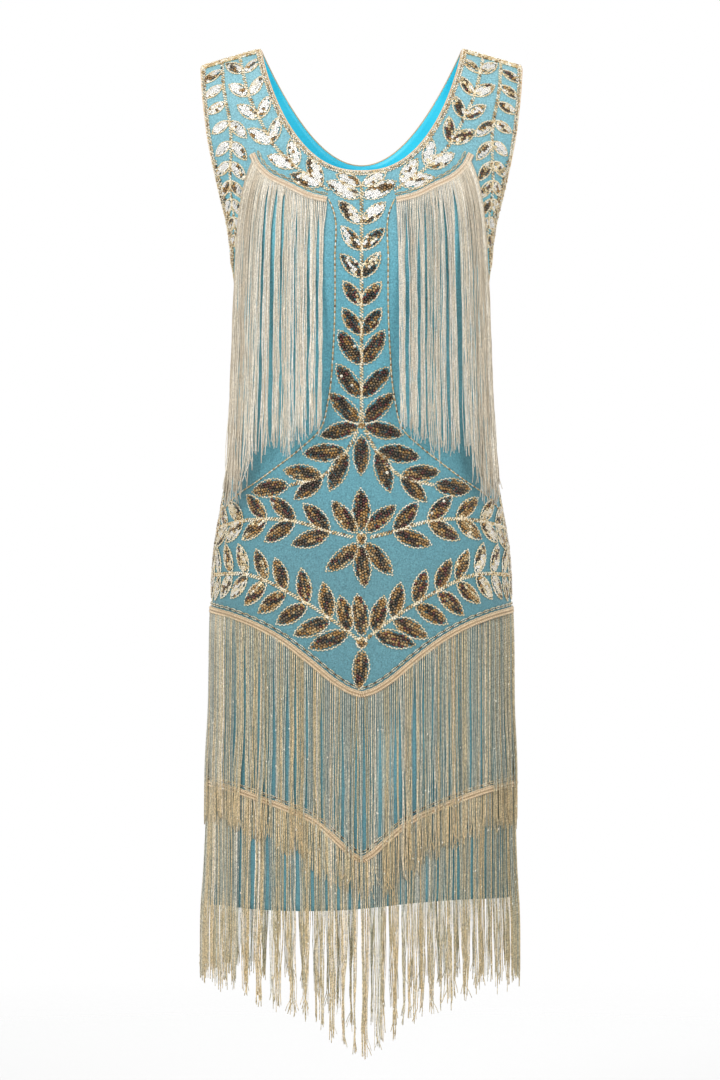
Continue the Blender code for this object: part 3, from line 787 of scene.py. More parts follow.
# Each is about one unit wide. A tube lies along x, and a sequin is two low cones, base to base.
DROP_BEAD = round_shape(((-0.5, 0), (0, 0.5), (0.5, 0)), 4)
SEED_BEAD = round_shape(((-0.42, 0), (-0.24, 0.44), (0.24, 0.44), (0.42, 0)), 4)
BEAD_TUBE = round_shape(((-0.48, 0), (-0.47, 0.42), (0.47, 0.42), (0.48, 0)), 4)
BEAD_TUBE = (BEAD_TUBE[0][:, [2, 0, 1]], *BEAD_TUBE[1:])
SEQUIN_SIDES = 7
SEQUIN_SHAPE = round_shape(((-0.02, 0), (0.0, 0.5), (0.085, 0)), SEQUIN_SIDES)


def joined(parts):
    """A list of arrays as one array; an array stays as it is."""
    return np.concatenate(parts) if isinstance(parts, list) else parts


def stamped(name, shape, centre, axes, size, tone, made_of=BEAD, slot="beads", smooth=True, **values):
    """Copies of a shape as one mesh: centre + the shape's x, y, z times size, along each copy's axes.

    centre, axes, size and tone may be lists of arrays. tone is a number for each copy, and values hold
    a number for each point of each copy.
    """
    points, triangles, quads = shape
    centre, axes, size, tone = joined(centre), joined(axes), joined(size), joined(tone)
    placed = centre[:, None] + np.einsum("vk,nk,nki->nvi", points, size, axes)
    shift = (np.arange(len(centre)) * len(points))[:, None, None]
    faces = [(part[None] + shift).reshape(-1, part.shape[1]) for part in (triangles, quads) if len(part)]
    values = {"tone": np.repeat(np.clip(tone, 0, 1), len(points)), **values}
    return piece(name, placed.reshape(-1, 3), faces, [made_of], values=values, smooth=smooth)


def uneven(rng, size, count, least, most):
    """The three sizes of many beads, each of them this size times a random number."""
    return np.array(size) * rng.uniform(least, most, (count, 3))


def framed(along, out):
    """Axes for each place: x along, z out, y across, made square to each other."""
    out = unit(out)
    along = unit(along - out * (along * out).sum(-1, keepdims=True))
    return np.stack([along, np.cross(out, along), out], axis=-2)


def sewn_row(angle, height, lift):
    """Places and axes of a row of beads on the cloth, each of them along the row."""
    place = on_cloth(angle, height, lift)
    return place, framed(np.gradient(place, axis=0), normal(angle, height))


def spun(axes, rng, amount):
    """Axes tipped by a random share in each direction."""
    tip = rng.normal(0, amount, (len(axes), 2))
    out = axes[:, 2] + axes[:, 0] * tip[:, :1] + axes[:, 1] * tip[:, 1:]
    return framed(axes[:, 0], out)


def even_path(points, pitch):
    """Points at an even pitch along a broken line."""
    length = lengths(points)
    count = max(int(round(length[-1] / pitch)), 1)
    return np.column_stack(read_off(np.linspace(0, length[-1], count + 1), length, *points.T))


ROUTE_STEP = 0.0005


def smooth_route(knots, pitch):
    """A smooth curve through knots (across, height), by the cubic of smooth_table, at an even pitch."""
    knots = np.array(knots, float)
    length = lengths(knots)
    table = np.column_stack([length, knots])
    fine = np.linspace(0, length[-1], max(int(length[-1] / ROUTE_STEP), 2))
    dense = np.column_stack([smooth_table(table, 1, fine), smooth_table(table, 2, fine)])
    return even_path(dense, pitch)


# ---------------------------------------------------------------- sprays: stems and leaves

# Each leaf of the spine, from the rosette up: (height of its foot, heading, length)
SPINE = (
    (-0.395, 53, 0.045),
    (-0.359, 54, 0.044),
    (-0.327, 55, 0.035),
    (-0.295, 54, 0.032),
    (-0.265, 53, 0.033),
    (-0.235, 48, 0.033),
    (-0.206, 42, 0.034),
    (-0.176, 21, 0.040),
    (-0.163, 26, 0.029),
)
SPINE_FOOT = -0.420
# The back's scoop is shallower, so its spine has one more pair below the last two
BACK_TOP = ((-0.176, 44, 0.034), (-0.146, 21, 0.040), (-0.133, 26, 0.029))

# Round motifs: (middle height, ring radius), then petals (heading, start, length)
ROSETTE = (
    -0.424,
    0.0028,
    ((46, 0.003, 0.046), (134, 0.003, 0.046), (-14, 0.003, 0.043), (194, 0.003, 0.043), (270, 0.011, 0.043)),
)
FLOWER = (
    -0.547,
    0.0048,
    (
        (90, 0.007, 0.047),
        (270, 0.007, 0.046),
        (49, 0.008, 0.043),
        (131, 0.008, 0.043),
        (-51, 0.007, 0.045),
        (231, 0.007, 0.045),
    ),
)
DROP = (-0.661, 0.0052, ((90, 0.007, 0.046), (270, 0.007, 0.043)))

# Stems on the wearer's left: knots (across, height), then rows of leaves. A row runs from one knot to
# another: (first knot, last knot, first heading, last heading, first length, last length).
SLANTING = (
    ((0.004, -0.430), (0.016, -0.452), (0.042, -0.479), (0.079, -0.489)),
    ((1, 2, -5, 7, 0.043, 0.040), (1, 2, -68, -43, 0.042, 0.036), (3, 3, -7, -7, 0.043, 0.043)),
)
ACROSS = (
    (
        (0.010, -0.546), (0.034, -0.540), (0.072, -0.529), (0.106, -0.526), (0.139, -0.528),
        (0.167, -0.532), (0.192, -0.535), (0.212, -0.537),
    ),
    ((1, 6, 47, 30, 0.038, 0.029), (1, 6, -21, -50, 0.040, 0.029)),
)
GARLAND = (
    (
        (0.005, -0.657), (0.013, -0.650), (0.033, -0.635), (0.058, -0.619), (0.083, -0.605),
        (0.106, -0.594), (0.131, -0.587), (0.155, -0.586), (0.178, -0.587), (0.199, -0.588),
        (0.214, -0.589),
    ),
    ((1, 9, 76, 60, 0.037, 0.029), (1, 9, -18, -66, 0.042, 0.026)),
)
STRAP_OUTER = (
    (
        (0.157, -0.004), (0.156, -0.017), (0.155, -0.038), (0.152, -0.060), (0.148, -0.084),
        (0.147, -0.109), (0.149, -0.132), (0.152, -0.153), (0.154, -0.173), (0.156, -0.193),
        (0.161, -0.212), (0.168, -0.226),
    ),
    ((1, 6, -22, -34, 0.026, 0.024), (7, 10, -48, -40, 0.020, 0.018), (4, 9, 226, 238, 0.028, 0.024)),
)
STRAP_INNER = (
    (
        (0.036, -0.168), (0.043, -0.163), (0.071, -0.142), (0.098, -0.114), (0.113, -0.085),
        (0.125, -0.057), (0.132, -0.028), (0.136, -0.006),
    ),
    ((1, 6, 20, 44, 0.036, 0.026), (1, 6, 64, 146, 0.034, 0.022)),
)
# Up the side seam of the hips; its across is measured from the centre front
SIDE = (
    ((0.214, -0.606), (0.214, -0.585), (0.214, -0.563), (0.213, -0.541), (0.212, -0.519), (0.210, -0.498)),
    ((0, 4, 58, 62, 0.026, 0.024), (0, 4, 122, 118, 0.026, 0.024)),
)
STEM_BEAD = (0.0044, 0.0026, 0.0026)
STEM_PITCH = 0.0016
STEM_ZIGZAG = 0.0009
STEM_LIFT = 0.0007
RING_PITCH = 0.0017
RING_ZIGZAG = 0.0002
FOOT_GAP = 0.0012
# Leaves over the hips are this much longer than in the tables
LOWER_LEAF = 1.09
LOWER_LEAVES_FROM = -0.4


def shallower(side, height):
    """A height beside the front neckline moved to the same place beside this side's neckline."""
    return height * (NECK[side][0] / NECK[FRONT][0])


def stems_and_leaves():
    """Every stem as (side, knots) and every leaf as (side, across, height, heading, length)."""
    stems, leaves = [], []
    for side in SIDE_NAME:
        spine = SPINE if side == FRONT else (*SPINE[:-2], *BACK_TOP)
        stems.append((side, ((0.0, SPINE_FOOT), (0.0, -0.3), (0.0, spine[-1][0] + 0.003))))
        for height, heading, long in spine:
            for turn in (heading, 180 - heading):
                leaves.append(leaf_from(side, (0.0, height), turn, FOOT_GAP, long))
        for middle, _, petals in (ROSETTE, FLOWER, DROP):
            for turn, start, long in petals:
                leaves.append(leaf_from(side, (0.0, middle), turn, start, long))
        for stem in (SLANTING, ACROSS, GARLAND, STRAP_OUTER, STRAP_INNER, SIDE):
            if stem is SIDE and side == BACK:
                continue
            knots, rows = stem
            if stem is STRAP_INNER:
                knots = [(across, shallower(side, height)) for across, height in knots]
            for hand in HAND_NAME:
                stems.append((side, [(hand * across, height) for across, height in knots]))
                for row in rows:
                    leaves += leaf_row(side, hand, knots, row)
    return stems, leaves


def leaf_row(side, hand, knots, row):
    """A leaf at each knot from a first to a last one, its heading and length in even steps."""
    first, last, turn_first, turn_last, long_first, long_last = row
    found = []
    for k in range(first, last + 1):
        part = (k - first) / max(last - first, 1)
        turn = turn_first + (turn_last - turn_first) * part
        long = long_first + (long_last - long_first) * part
        long = long * (LOWER_LEAF if knots[k][1] < LOWER_LEAVES_FROM else 1.0)
        foot = (hand * knots[k][0], knots[k][1])
        found.append(leaf_from(side, foot, turn if hand > 0 else 180 - turn, FOOT_GAP, long))
    return found


def leaf_from(side, foot, turn, start, long):
    """A leaf that starts this far from its foot, in the direction of its heading."""
    heading = math.radians(turn)
    return (side, foot[0] + start * math.cos(heading), foot[1] + start * math.sin(heading), heading, long)


# A leaf is this wide, and this share of its length wider
LEAF_WIDE = 0.0022
LEAF_WIDE_SHARE = 0.372
LEAF_DOME = 0.0012
OUTLINE_BEADS = 40
OUTLINE_BEAD = (0.0036, 0.0021, 0.0021)
OUTLINE_ZIGZAG = 0.0004
OUTLINE_LIFT = (0.0006, 0.0010)
OUTLINE_TIP = 0.14
PICOT_BEAD = 0.0013
PICOT_OUT = 0.0010
PICOT_LIFT = (0.0003, 0.0007)
SEQUIN_WIDE = 0.0036
SEQUIN_ALONG = 0.0032
SEQUINS_ALONG = 20  # no leaf holds more in a row
SEQUIN_ROWS = 0.0028
SEQUIN_ROW_COUNT = 7
SEQUIN_START = 0.0026
SEQUIN_FROM_EDGE = 0.0013
SEQUIN_FROM_TIP = 0.0024
SEQUIN_LIFT = 0.0004
SHINGLE = 0.10  # how far a sequin leans on the next one
MOTIF_RING = 0.66  # where a motif's middle has six sequins, as a share of its radius
MOTIF_TONES = (0.14, 0.30, 0.46)
EDGE_BORDER = 0.0060


def leaf_edge(t):
    """Half width of a leaf at a share of its length: sin(pi t^0.94)^0.72."""
    return np.clip(np.sin(math.pi * np.clip(t, 0, 1) ** 0.94), 0, 1) ** 0.72


def even_loop(points, count):
    """A closed broken line as this many points at an even pitch."""
    points = np.concatenate([points, points[:1]])
    length = lengths(points)
    return np.column_stack(read_off(np.linspace(0, length[-1], count + 1)[:-1], length, *points.T))


def leaf_spots(leaves, a, b):
    """Laid-out places of points a along and b left of the axes of leaves that bend a little."""
    across, height, heading, long, bend = leaves[:, :5].T
    b = b + bend * a**2 / long
    c, s = np.cos(heading), np.sin(heading)
    return across + a * c - b * s, height + a * s + b * c


def clear_of_openings(side, across, height):
    """Whether a laid-out place is on the cloth, inside the beaded borders of its neckline and armholes."""
    down = np.clip(-height / UNDERARM, 0, 1)
    arm = np.arccos(ARMHOLE_OPEN * np.sqrt(1 - down**6))
    arm = across_at(side, CENTRE[side] + arm, height)
    deep, m, n = NECK[side]
    neck = NECK_HALF_WIDTH * (1 - np.clip(-height / deep, 0, 1) ** n) ** (1 / m)
    x = form(turn_at(side, across, height), height)[..., 0]
    off_arm = (np.abs(across) < arm - EDGE_BORDER) | (height < -UNDERARM - EDGE_BORDER)
    return off_arm & ((np.abs(x) > neck + EDGE_BORDER) | (height < -deep - EDGE_BORDER))


def leaf_outlines(side, leaves, rng, label):
    """A corded chain of long beads round each leaf, with a small bead standing out at every other one."""
    count = len(leaves)
    turn = np.linspace(0, 2 * math.pi, 400)[:-1]
    t = (1 - np.cos(turn)) / 2
    shape = np.column_stack([t, np.sign(np.sin(turn)) * leaf_edge(t) * 0.2])
    loop = even_loop(shape, OUTLINE_BEADS)
    tangent = unit(np.roll(loop, -1, axis=0) - np.roll(loop, 1, axis=0))
    outward = np.column_stack([tangent[:, 1], -tangent[:, 0]])
    odd = np.arange(OUTLINE_BEADS) % 2
    each = np.repeat(leaves, OUTLINE_BEADS, axis=0)
    long = each[:, 3]
    wide = LEAF_WIDE + LEAF_WIDE_SHARE * long
    base_a, base_b = np.tile(loop[:, 0], count) * long, np.tile(loop[:, 1], count) / 0.4 * wide
    out_a, out_b = np.tile(outward[:, 0], count), np.tile(outward[:, 1], count)
    odd = np.tile(odd, count)

    def placed(reach, lift, pick):
        across, height = leaf_spots(each, base_a + out_a * reach, base_b + out_b * reach)
        angle = turn_at(side, across, height)
        centre = on_cloth(angle, height, lift)
        rows = centre.reshape(count, OUTLINE_BEADS, 3)
        along = (np.roll(rows, -1, axis=1) - np.roll(rows, 1, axis=1)).reshape(-1, 3)
        pick = pick & clear_of_openings(side, across, height)
        return centre[pick], framed(along, normal(angle, height))[pick], odd[pick]

    every = np.ones(len(each), bool)
    zigzag = OUTLINE_ZIGZAG * np.where(odd, 1.0, -1.0)
    chain, chain_axes, chain_odd = placed(zigzag, rng.uniform(*OUTLINE_LIFT, len(each)), every)
    tip = rng.normal(0, 0.08, len(chain)) + OUTLINE_TIP * np.where(chain_odd, 1.0, -1.0)
    chain_axes = leaned(chain_axes, tip)
    reach = PICOT_OUT + rng.normal(0, 0.0002, len(each))
    picots, picot_axes, _ = placed(reach, rng.uniform(*PICOT_LIFT, len(each)), odd == 1)
    size = [uneven(rng, OUTLINE_BEAD, len(chain), 0.9, 1.1), uneven(rng, PICOT_BEAD, len(picots), 0.7, 1.2)]
    tone = [rng.normal(0.80, 0.13, len(chain)), rng.normal(0.44, 0.16, len(picots))]
    name = f"leaf_outlines_{label}"
    return stamped(name, DROP_BEAD, [chain, picots], [chain_axes, picot_axes], size, tone)


def leaned(axes, turn):
    """Axes turned about their own out direction by an angle each."""
    c, s = np.cos(turn)[:, None], np.sin(turn)[:, None]
    return np.stack([c * axes[:, 0] + s * axes[:, 1], c * axes[:, 1] - s * axes[:, 0], axes[:, 2]], axis=1)


def leaf_sequins(side, leaves, rng, label):
    """Rows of cupped sequins along each leaf, every other row half a step on, inside its outline.

    A leaf's three tones follow a field of two waves over it, in patches that end softly: painted reflection,
    as of sequins that lie the same way and catch the same light. A rare sequin gets a painted glint. The
    middle of a round motif has one sequin and a ring of six.
    """
    rows = (np.arange(SEQUIN_ROW_COUNT) - SEQUIN_ROW_COUNT // 2) * SEQUIN_ROWS
    steps = np.arange(SEQUINS_ALONG) * SEQUIN_ALONG + SEQUIN_START
    half_step = (np.arange(SEQUIN_ROW_COUNT) % 2)[:, None] * SEQUIN_ALONG / 2
    grid_a = (steps[None, :] + half_step).reshape(-1)
    grid_b = np.repeat(rows, len(steps))
    long = leaves[:, 3:4]
    half = leaf_edge(grid_a / long) * (LEAF_WIDE + LEAF_WIDE_SHARE * long) / 2
    inside = (np.abs(grid_b) < half - SEQUIN_FROM_EDGE) & (grid_a < long - SEQUIN_FROM_TIP)
    which, spot = np.nonzero(inside)
    a, b, half = grid_a[spot], grid_b[spot], half[which, spot]
    chosen = leaves[which]
    for middle, radius, _ in (ROSETTE, FLOWER, DROP):
        turn = np.arange(6) * math.pi / 3
        a = np.concatenate([a, [0], MOTIF_RING * radius * np.cos(turn)])
        b = np.concatenate([b, [0], MOTIF_RING * radius * np.sin(turn)])
        half = np.concatenate([half, np.full(7, 2 * radius)])
        chosen = np.concatenate([chosen, np.tile([0, middle, 0, 1, 0, *MOTIF_TONES, 1], (7, 1))])
    count = len(a)
    a, b = a + rng.normal(0, 0.00025, count), b + rng.normal(0, 0.00025, count)
    across, height = leaf_spots(chosen, a, b)
    kept = clear_of_openings(side, across, height)
    a, b, half, chosen, across, height = (each[kept] for each in (a, b, half, chosen, across, height))
    count = len(a)
    angle = turn_at(side, across, height)
    further_a, further_b = leaf_spots(chosen, a + STEP * 10, b)
    along = on_cloth(turn_at(side, further_a, further_b), further_b, 0.0) - on_cloth(angle, height, 0.0)
    dome = LEAF_DOME * (1 - (b / half) ** 2)
    centre = on_cloth(angle, height, SEQUIN_LIFT + dome + rng.uniform(0, SEQUIN_LIFT, count))
    out = normal(angle, height)
    low, middle, high, phase = chosen[:, 5:9].T
    axes = spun(framed(along, out - SHINGLE * unit(along)), rng, 0.12)
    size = SEQUIN_WIDE * (rng.uniform(0.94, 1.06, count) + 0.10 * (middle > 0.5))[:, None] * np.ones(3)
    # painted reflection: patches of tone, as of sequins that lie the same way and reflect alike
    field = np.sin(a * 160 + phase + b * 380) + 0.45 * np.sin(b * 1100 - a * 240 + 2.3 * phase)
    field = field + rng.normal(0, 0.22, count)
    most = 0.20 - 0.60 * eased(-height, 0.50, 0.56)
    in_row = np.sin(np.rint(b / SEQUIN_ROWS) * 2.4 + phase * 5) * (middle < 0.45)
    upper = eased(height, -0.32, -0.26)
    field = field + 0.45 * upper * np.sin(phase * 9)
    lift, gleam = eased(field, -0.95, -0.65 + 0.2 * upper), eased(field, most, most + 0.25)
    tone = low * (1 - lift) + middle * (lift - lift * gleam) + high * lift * gleam
    tone = tone + 0.07 * in_row + rng.normal(0, 0.05, count)
    chance = rng.uniform(0, 1, count)
    red = np.sin(a * 310 - phase + b * 650) + np.sin(a * 93 + 4 * phase) > 1.35
    tone = np.where((chance < 0.55) & red & (middle < 0.35), 0.07, tone)
    # painted glint: a rare sequin on a dark leaf is painted pale
    tone = np.where((chance > 0.9975) & (middle < 0.45), 0.70, tone)
    rim = np.tile(np.concatenate([[0.0], np.ones(SEQUIN_SIDES), [0.0]]), count)
    cupped = np.concatenate([np.repeat(tone < 0.6, len(part)) for part in SEQUIN_SHAPE[1:] if len(part)])
    name = f"leaf_sequins_{label}"
    return stamped(name, SEQUIN_SHAPE, centre, axes, size, tone, SEQUIN, smooth=cupped, rim=rim)


def chain_beads(side, route, zigzag):
    """Places and axes of beads that swing to and fro about a laid-out route."""
    ahead = unit(np.gradient(route, axis=0))
    swing = zigzag * by_turns(len(route))
    route = route + np.column_stack([-ahead[:, 1], ahead[:, 0]]) * swing[:, None]
    angle = turn_at(side, route[:, 0], route[:, 1])
    lift = STEM_LIFT * (1 + 0.4 * np.sin(np.arange(len(route)) * 2.1))
    return sewn_row(angle, route[:, 1], lift)


def stem_work(side, stems, rng, label):
    """Zigzag chains along the stems, and the rings in the middle of the round motifs."""
    rows = []
    for stem_side, knots in stems:
        if stem_side == side:
            route = smooth_route(knots, STEM_PITCH)
            kept = clear_of_openings(side, *route.T)
            rows.append([each[kept] for each in chain_beads(side, route, STEM_ZIGZAG)])
    for middle, radius, _ in (ROSETTE, FLOWER, DROP):
        count = int(2 * math.pi * radius / RING_PITCH)
        turn = 2 * math.pi * np.arange(count) / count
        ring = np.column_stack([radius * np.cos(turn), middle + radius * np.sin(turn)])
        rows.append(chain_beads(side, ring, RING_ZIGZAG))
    centre, axes = map(np.concatenate, zip(*rows))
    count = len(centre)
    axes = leaned(axes, rng.normal(0.80, 0.15, count))
    size = uneven(rng, STEM_BEAD, count, 0.85, 1.15)
    tone = rng.normal(0.80, 0.12, count) - 0.45 * (rng.uniform(0, 1, count) < 0.25)
    return stamped(f"stems_{label}", DROP_BEAD, centre, axes, size, tone)


# Painted reflection by height: pale sequins high up, as if catching the lights, and dark ones lower down, as
# if reflecting dark surroundings: (height, low tone, middle tone, high tone)
LEAF_REFLECTION_TONES = (
    (-0.70, 0.01, 0.27, 0.43),
    (-0.46, 0.01, 0.24, 0.40),
    (-0.36, 0.01, 0.22, 0.34),
    (-0.31, 0.02, 0.26, 0.50),
    (-0.26, 0.08, 0.46, 0.88),
    (-0.19, 0.26, 0.70, 0.94),
    (-0.00, 0.30, 0.74, 0.96),
)
SIDE_TONES = (0.20, 0.57, 0.69)


def leaf_table(side, leaves, rng):
    """Rows (across, height, heading, long, bend, low, middle, high, phase) of one side's leaves.

    A leaf's sequins have three tones, in patches: white and brown at the straps, amber, bronze and black
    over the hips, and gold towards the side seams. The white high up and the dark lower down are painted
    reflection: sequins as they would catch the lights above or reflect darker surroundings below.
    """
    rows = []
    for leaf_side, across, height, heading, long in leaves:
        if leaf_side != side:
            continue
        # painted reflection: tones by height, pale where sequins would catch the lights above
        tones = np.array([smooth_table(LEAF_REFLECTION_TONES, column, height) for column in (1, 2, 3)])
        outward = np.clip((abs(across) - 0.09) / 0.05, 0, 1) * (height < -0.3)
        tones = tones + (np.array(SIDE_TONES) - tones) * outward + rng.normal(0, 0.03)
        tones = tones - 0.15 * np.clip(across / 0.09, 0, 1) * eased(height, -0.26, -0.16)
        below_neck = eased(-height, 0.20, 0.23) * eased(height, -0.33, -0.28)
        tones = tones - 0.16 * (abs(across) < 0.01) * below_neck
        rows.append((across, height, heading, long, rng.normal(0, 0.05), *tones, rng.uniform(0, 6.28)))
    return np.array(rows)


STEMS, LEAVES = stems_and_leaves()
for side, seed in ((FRONT, 101), (BACK, 102)):
    label = SIDE_NAME[side]
    rng = np.random.default_rng(seed)
    chosen = leaf_table(side, LEAVES, rng)
    leaf_outlines(side, chosen, rng, label)
    leaf_sequins(side, chosen, rng, label)
    stem_work(side, STEMS, rng, label)


# ---------------------------------------------------------------- beaded edges

EDGE_BEAD = 0.0020
EDGE_LIFT = (0.0006, 0.0012)
EDGE_STRAY = 0.003  # a bead that a sharp turn puts further than this from its place is left out
# (inset, pitch, zigzag, brightness, the height it starts below)
EDGE_ROWS = (
    (0.0014, 0.0020, 0.0002, 0.94, 0.01),
    (0.0031, 0.0017, 0.0007, 0.58, 0.01),
    (0.0048, 0.0020, 0.0004, 0.90, 0.01),
)
UNDERARM_ROWS = (
    (0.0066, 0.0018, 0.0008, 0.40, -0.130),
    (0.0084, 0.0018, 0.0008, 0.62, -0.150),
    (0.0102, 0.0018, 0.0008, 0.36, -0.165),
    (0.0120, 0.0018, 0.0008, 0.58, -0.180),
)
EDGE_GROUND_WIDE = 0.0050
EDGE_GROUND_THICK = 0.0008
EDGE_GROUND_GAP = 0.0004
EDGE_GROUND_LIFT = 0.0002
BINDING_RADIUS = 0.00095
BINDING_SUNK = 0.0006


def edge_rows(name, angle, height, seed, rows):
    """Rows of beads along an opening's edge, each in a zigzag, and only below the row's last value."""
    rng = np.random.default_rng(seed)
    edge = form(angle, height)
    loop = np.concatenate([edge, edge[:1]])
    length = lengths(loop)
    turns = np.unwrap(np.concatenate([angle, angle[:1]]))
    heights = np.concatenate([height, height[:1]])
    centre, axes, tone = [], [], []
    for inset, pitch, zigzag, bright, below in rows:
        count = int(length[-1] / pitch)
        want = np.linspace(0, length[-1], count + 1)[:-1]
        at, level = read_off(want, length, turns, heights)
        here = np.column_stack(read_off(want, length, *loop.T))
        along = np.roll(here, -1, axis=0) - np.roll(here, 1, axis=0)
        out = normal(at, level)
        into = unit(np.cross(out, along))
        reach = inset + zigzag * by_turns(count) + rng.normal(0, 0.0002, count)
        far = slid(at, level, into * reach[:, None])
        place = on_cloth(*far, rng.uniform(*EDGE_LIFT, count))
        near = (np.linalg.norm(place - here, axis=1) < inset + EDGE_STRAY) & (level < below)
        centre.append(place[near])
        axes.append(framed(along + rng.normal(0, 0.0006, along.shape), normal(*far))[near])
        tone.append(rng.normal(bright, 0.28, count)[near])
    size = uneven(rng, EDGE_BEAD, sum(map(len, centre)), 0.85, 1.2)
    return stamped(name, SEED_BEAD, centre, axes, size, tone)


def binding(name, angle, height):
    """A thin round binding along an opening's edge, just inside the cloth."""
    edge = on_cloth(angle, height, -BINDING_SUNK)
    return ring_tube(name, edge, normal(angle, height), (BINDING_RADIUS, BINDING_RADIUS), BINDING_CORD)


def edge_ground(name, angle, height):
    """The flat tape that an edge's beads are sewn to."""
    edge = form(angle, height)
    into = unit(np.cross(normal(angle, height), np.roll(edge, -1, axis=0) - np.roll(edge, 1, axis=0)))
    far = slid(angle, height, into * (EDGE_GROUND_WIDE / 2 + EDGE_GROUND_GAP))
    radius = EDGE_GROUND_WIDE / 2, EDGE_GROUND_THICK / 2
    return ring_tube(name, on_cloth(*far, EDGE_GROUND_LIFT), normal(*far), radius, EDGE_GROUND)


def ring_tube(name, centre, out, radius, made_of, sides=6):
    """A closed tube round a loop: centre + wide cos(turn) across + thick sin(turn) out."""
    along = np.roll(centre, -1, axis=0) - np.roll(centre, 1, axis=0)
    across = unit(np.cross(along, out))
    out = np.cross(across, unit(along))
    turn = 2 * math.pi * np.arange(sides) / sides
    wide, thick = radius[0] * np.cos(turn)[:, None], radius[1] * np.sin(turn)[:, None]
    points = centre[:, None] + wide * across[:, None] + thick * out[:, None]
    n = len(centre)
    at = np.arange(n * sides).reshape(n, sides)
    ahead, beside = np.roll(at, -1, axis=0), np.roll(at, -1, axis=1)
    both = np.roll(ahead, -1, axis=1)
    faces = np.stack([ahead, both, beside, at], axis=-1).reshape(-1, 4)
    length = np.cumsum(np.linalg.norm(along, axis=1)) / 2
    step = length[0]
    u = np.stack([length, length, length - step, length - step], axis=-1)[:, None].repeat(sides, 1)
    v = np.arange(sides)[None, :, None] + np.array([0, 1, 1, 0])
    uv = np.stack([u, np.broadcast_to(v / sides, u.shape)], axis=-1).reshape(-1, 2)
    return piece(name, points.reshape(-1, 3), [faces], [made_of], uv=uv)


def neck_loop(steps):
    """(angle, height) round the neckline, over the front, one shoulder, the back and the other."""
    share = np.linspace(0, 1, steps + 1)
    x, front_height = neck_edge(share, FRONT)
    front = angle_at(x, front_height)
    x, back_height = neck_edge(share, BACK)
    back = math.pi - angle_at(x, back_height)
    angle = np.concatenate([front[:0:-1], back[:-1], (2 * math.pi - back)[:0:-1], (-front)[:-1]])
    height = np.concatenate([front_height[:0:-1], back_height[:-1], back_height[:0:-1], front_height[:-1]])
    return angle[::-1], height[::-1]


def armhole_loop(hand, steps):
    """(angle, height) round an armhole, down its front edge and up its back one."""
    angle, height = armhole_edge(np.linspace(0, 1, steps + 1))
    angle = hand * np.concatenate([angle[:-1], (math.pi - angle)[:0:-1]])
    height = np.concatenate([height[:-1], height[:0:-1]])
    return angle[::-hand], height[::-hand]


def beaded_edge(kind, label, loop, steps, rows, seed):
    """The beads, the binding and the ground of one opening's edge."""
    beads = edge_rows(f"{kind}_edge_beads{label}", *loop(120), seed, rows)
    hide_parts(f"{kind}_trim{label}")
    cord = binding(f"{kind}_binding{label}", *loop(steps))
    return [beads, cord, edge_ground(f"{kind}_ground{label}", *loop(steps))]


edges = beaded_edge("neck", "", neck_loop, 90, EDGE_ROWS, 201)
for hand, label in HAND_NAME.items():
    loop = functools.partial(armhole_loop, hand)
    edges += beaded_edge("armhole", f"_{label}", loop, 70, EDGE_ROWS + UNDERARM_ROWS, 202 + hand)


SHOULDER_ROWS = (0.03, 0.12, 0.22, 0.34, 0.46)
SHOULDER_PITCH = 0.0019
SHOULDER_ZIGZAG = 0.012  # of the shoulder's depth
SHOULDER_BEAD = 0.0034
SHOULDER_LIFT = 0.0010
SHOULDER_FROM_TO = (0.1140, 0.1785)


def shoulder_beads(hand, label, seed):
    """Rows of beads over a shoulder seam, from the neckline to the armhole.

    A row at a share t of the shoulder's depth is 0.05 (1 - sqrt(1 - t^2)) below its top.
    """
    rng = np.random.default_rng(seed)
    rows = []
    for side in SIDE_NAME:
        for share in SHOULDER_ROWS:
            x = np.arange(*SHOULDER_FROM_TO, SHOULDER_PITCH)
            zigzag = SHOULDER_ZIGZAG * by_turns(len(x))
            below = SHOULDER_ROUND * (1 - np.sqrt(1 - (share + zigzag) ** 2))
            angle = face_angle(hand * x, -below, side)
            rows.append(sewn_row(angle, -below, SHOULDER_LIFT))
    centre, axes = map(np.concatenate, zip(*rows))
    count = len(centre)
    size = uneven(rng, SHOULDER_BEAD, count, 0.75, 1.3)
    tone = rng.normal(0.66, 0.24, count)
    return stamped(f"shoulder_beads_{label}", SEED_BEAD, centre, axes, size, tone)


for hand, label in HAND_NAME.items():
    edges.append(shoulder_beads(hand, label, 220 + hand))


# ---------------------------------------------------------------- fringe


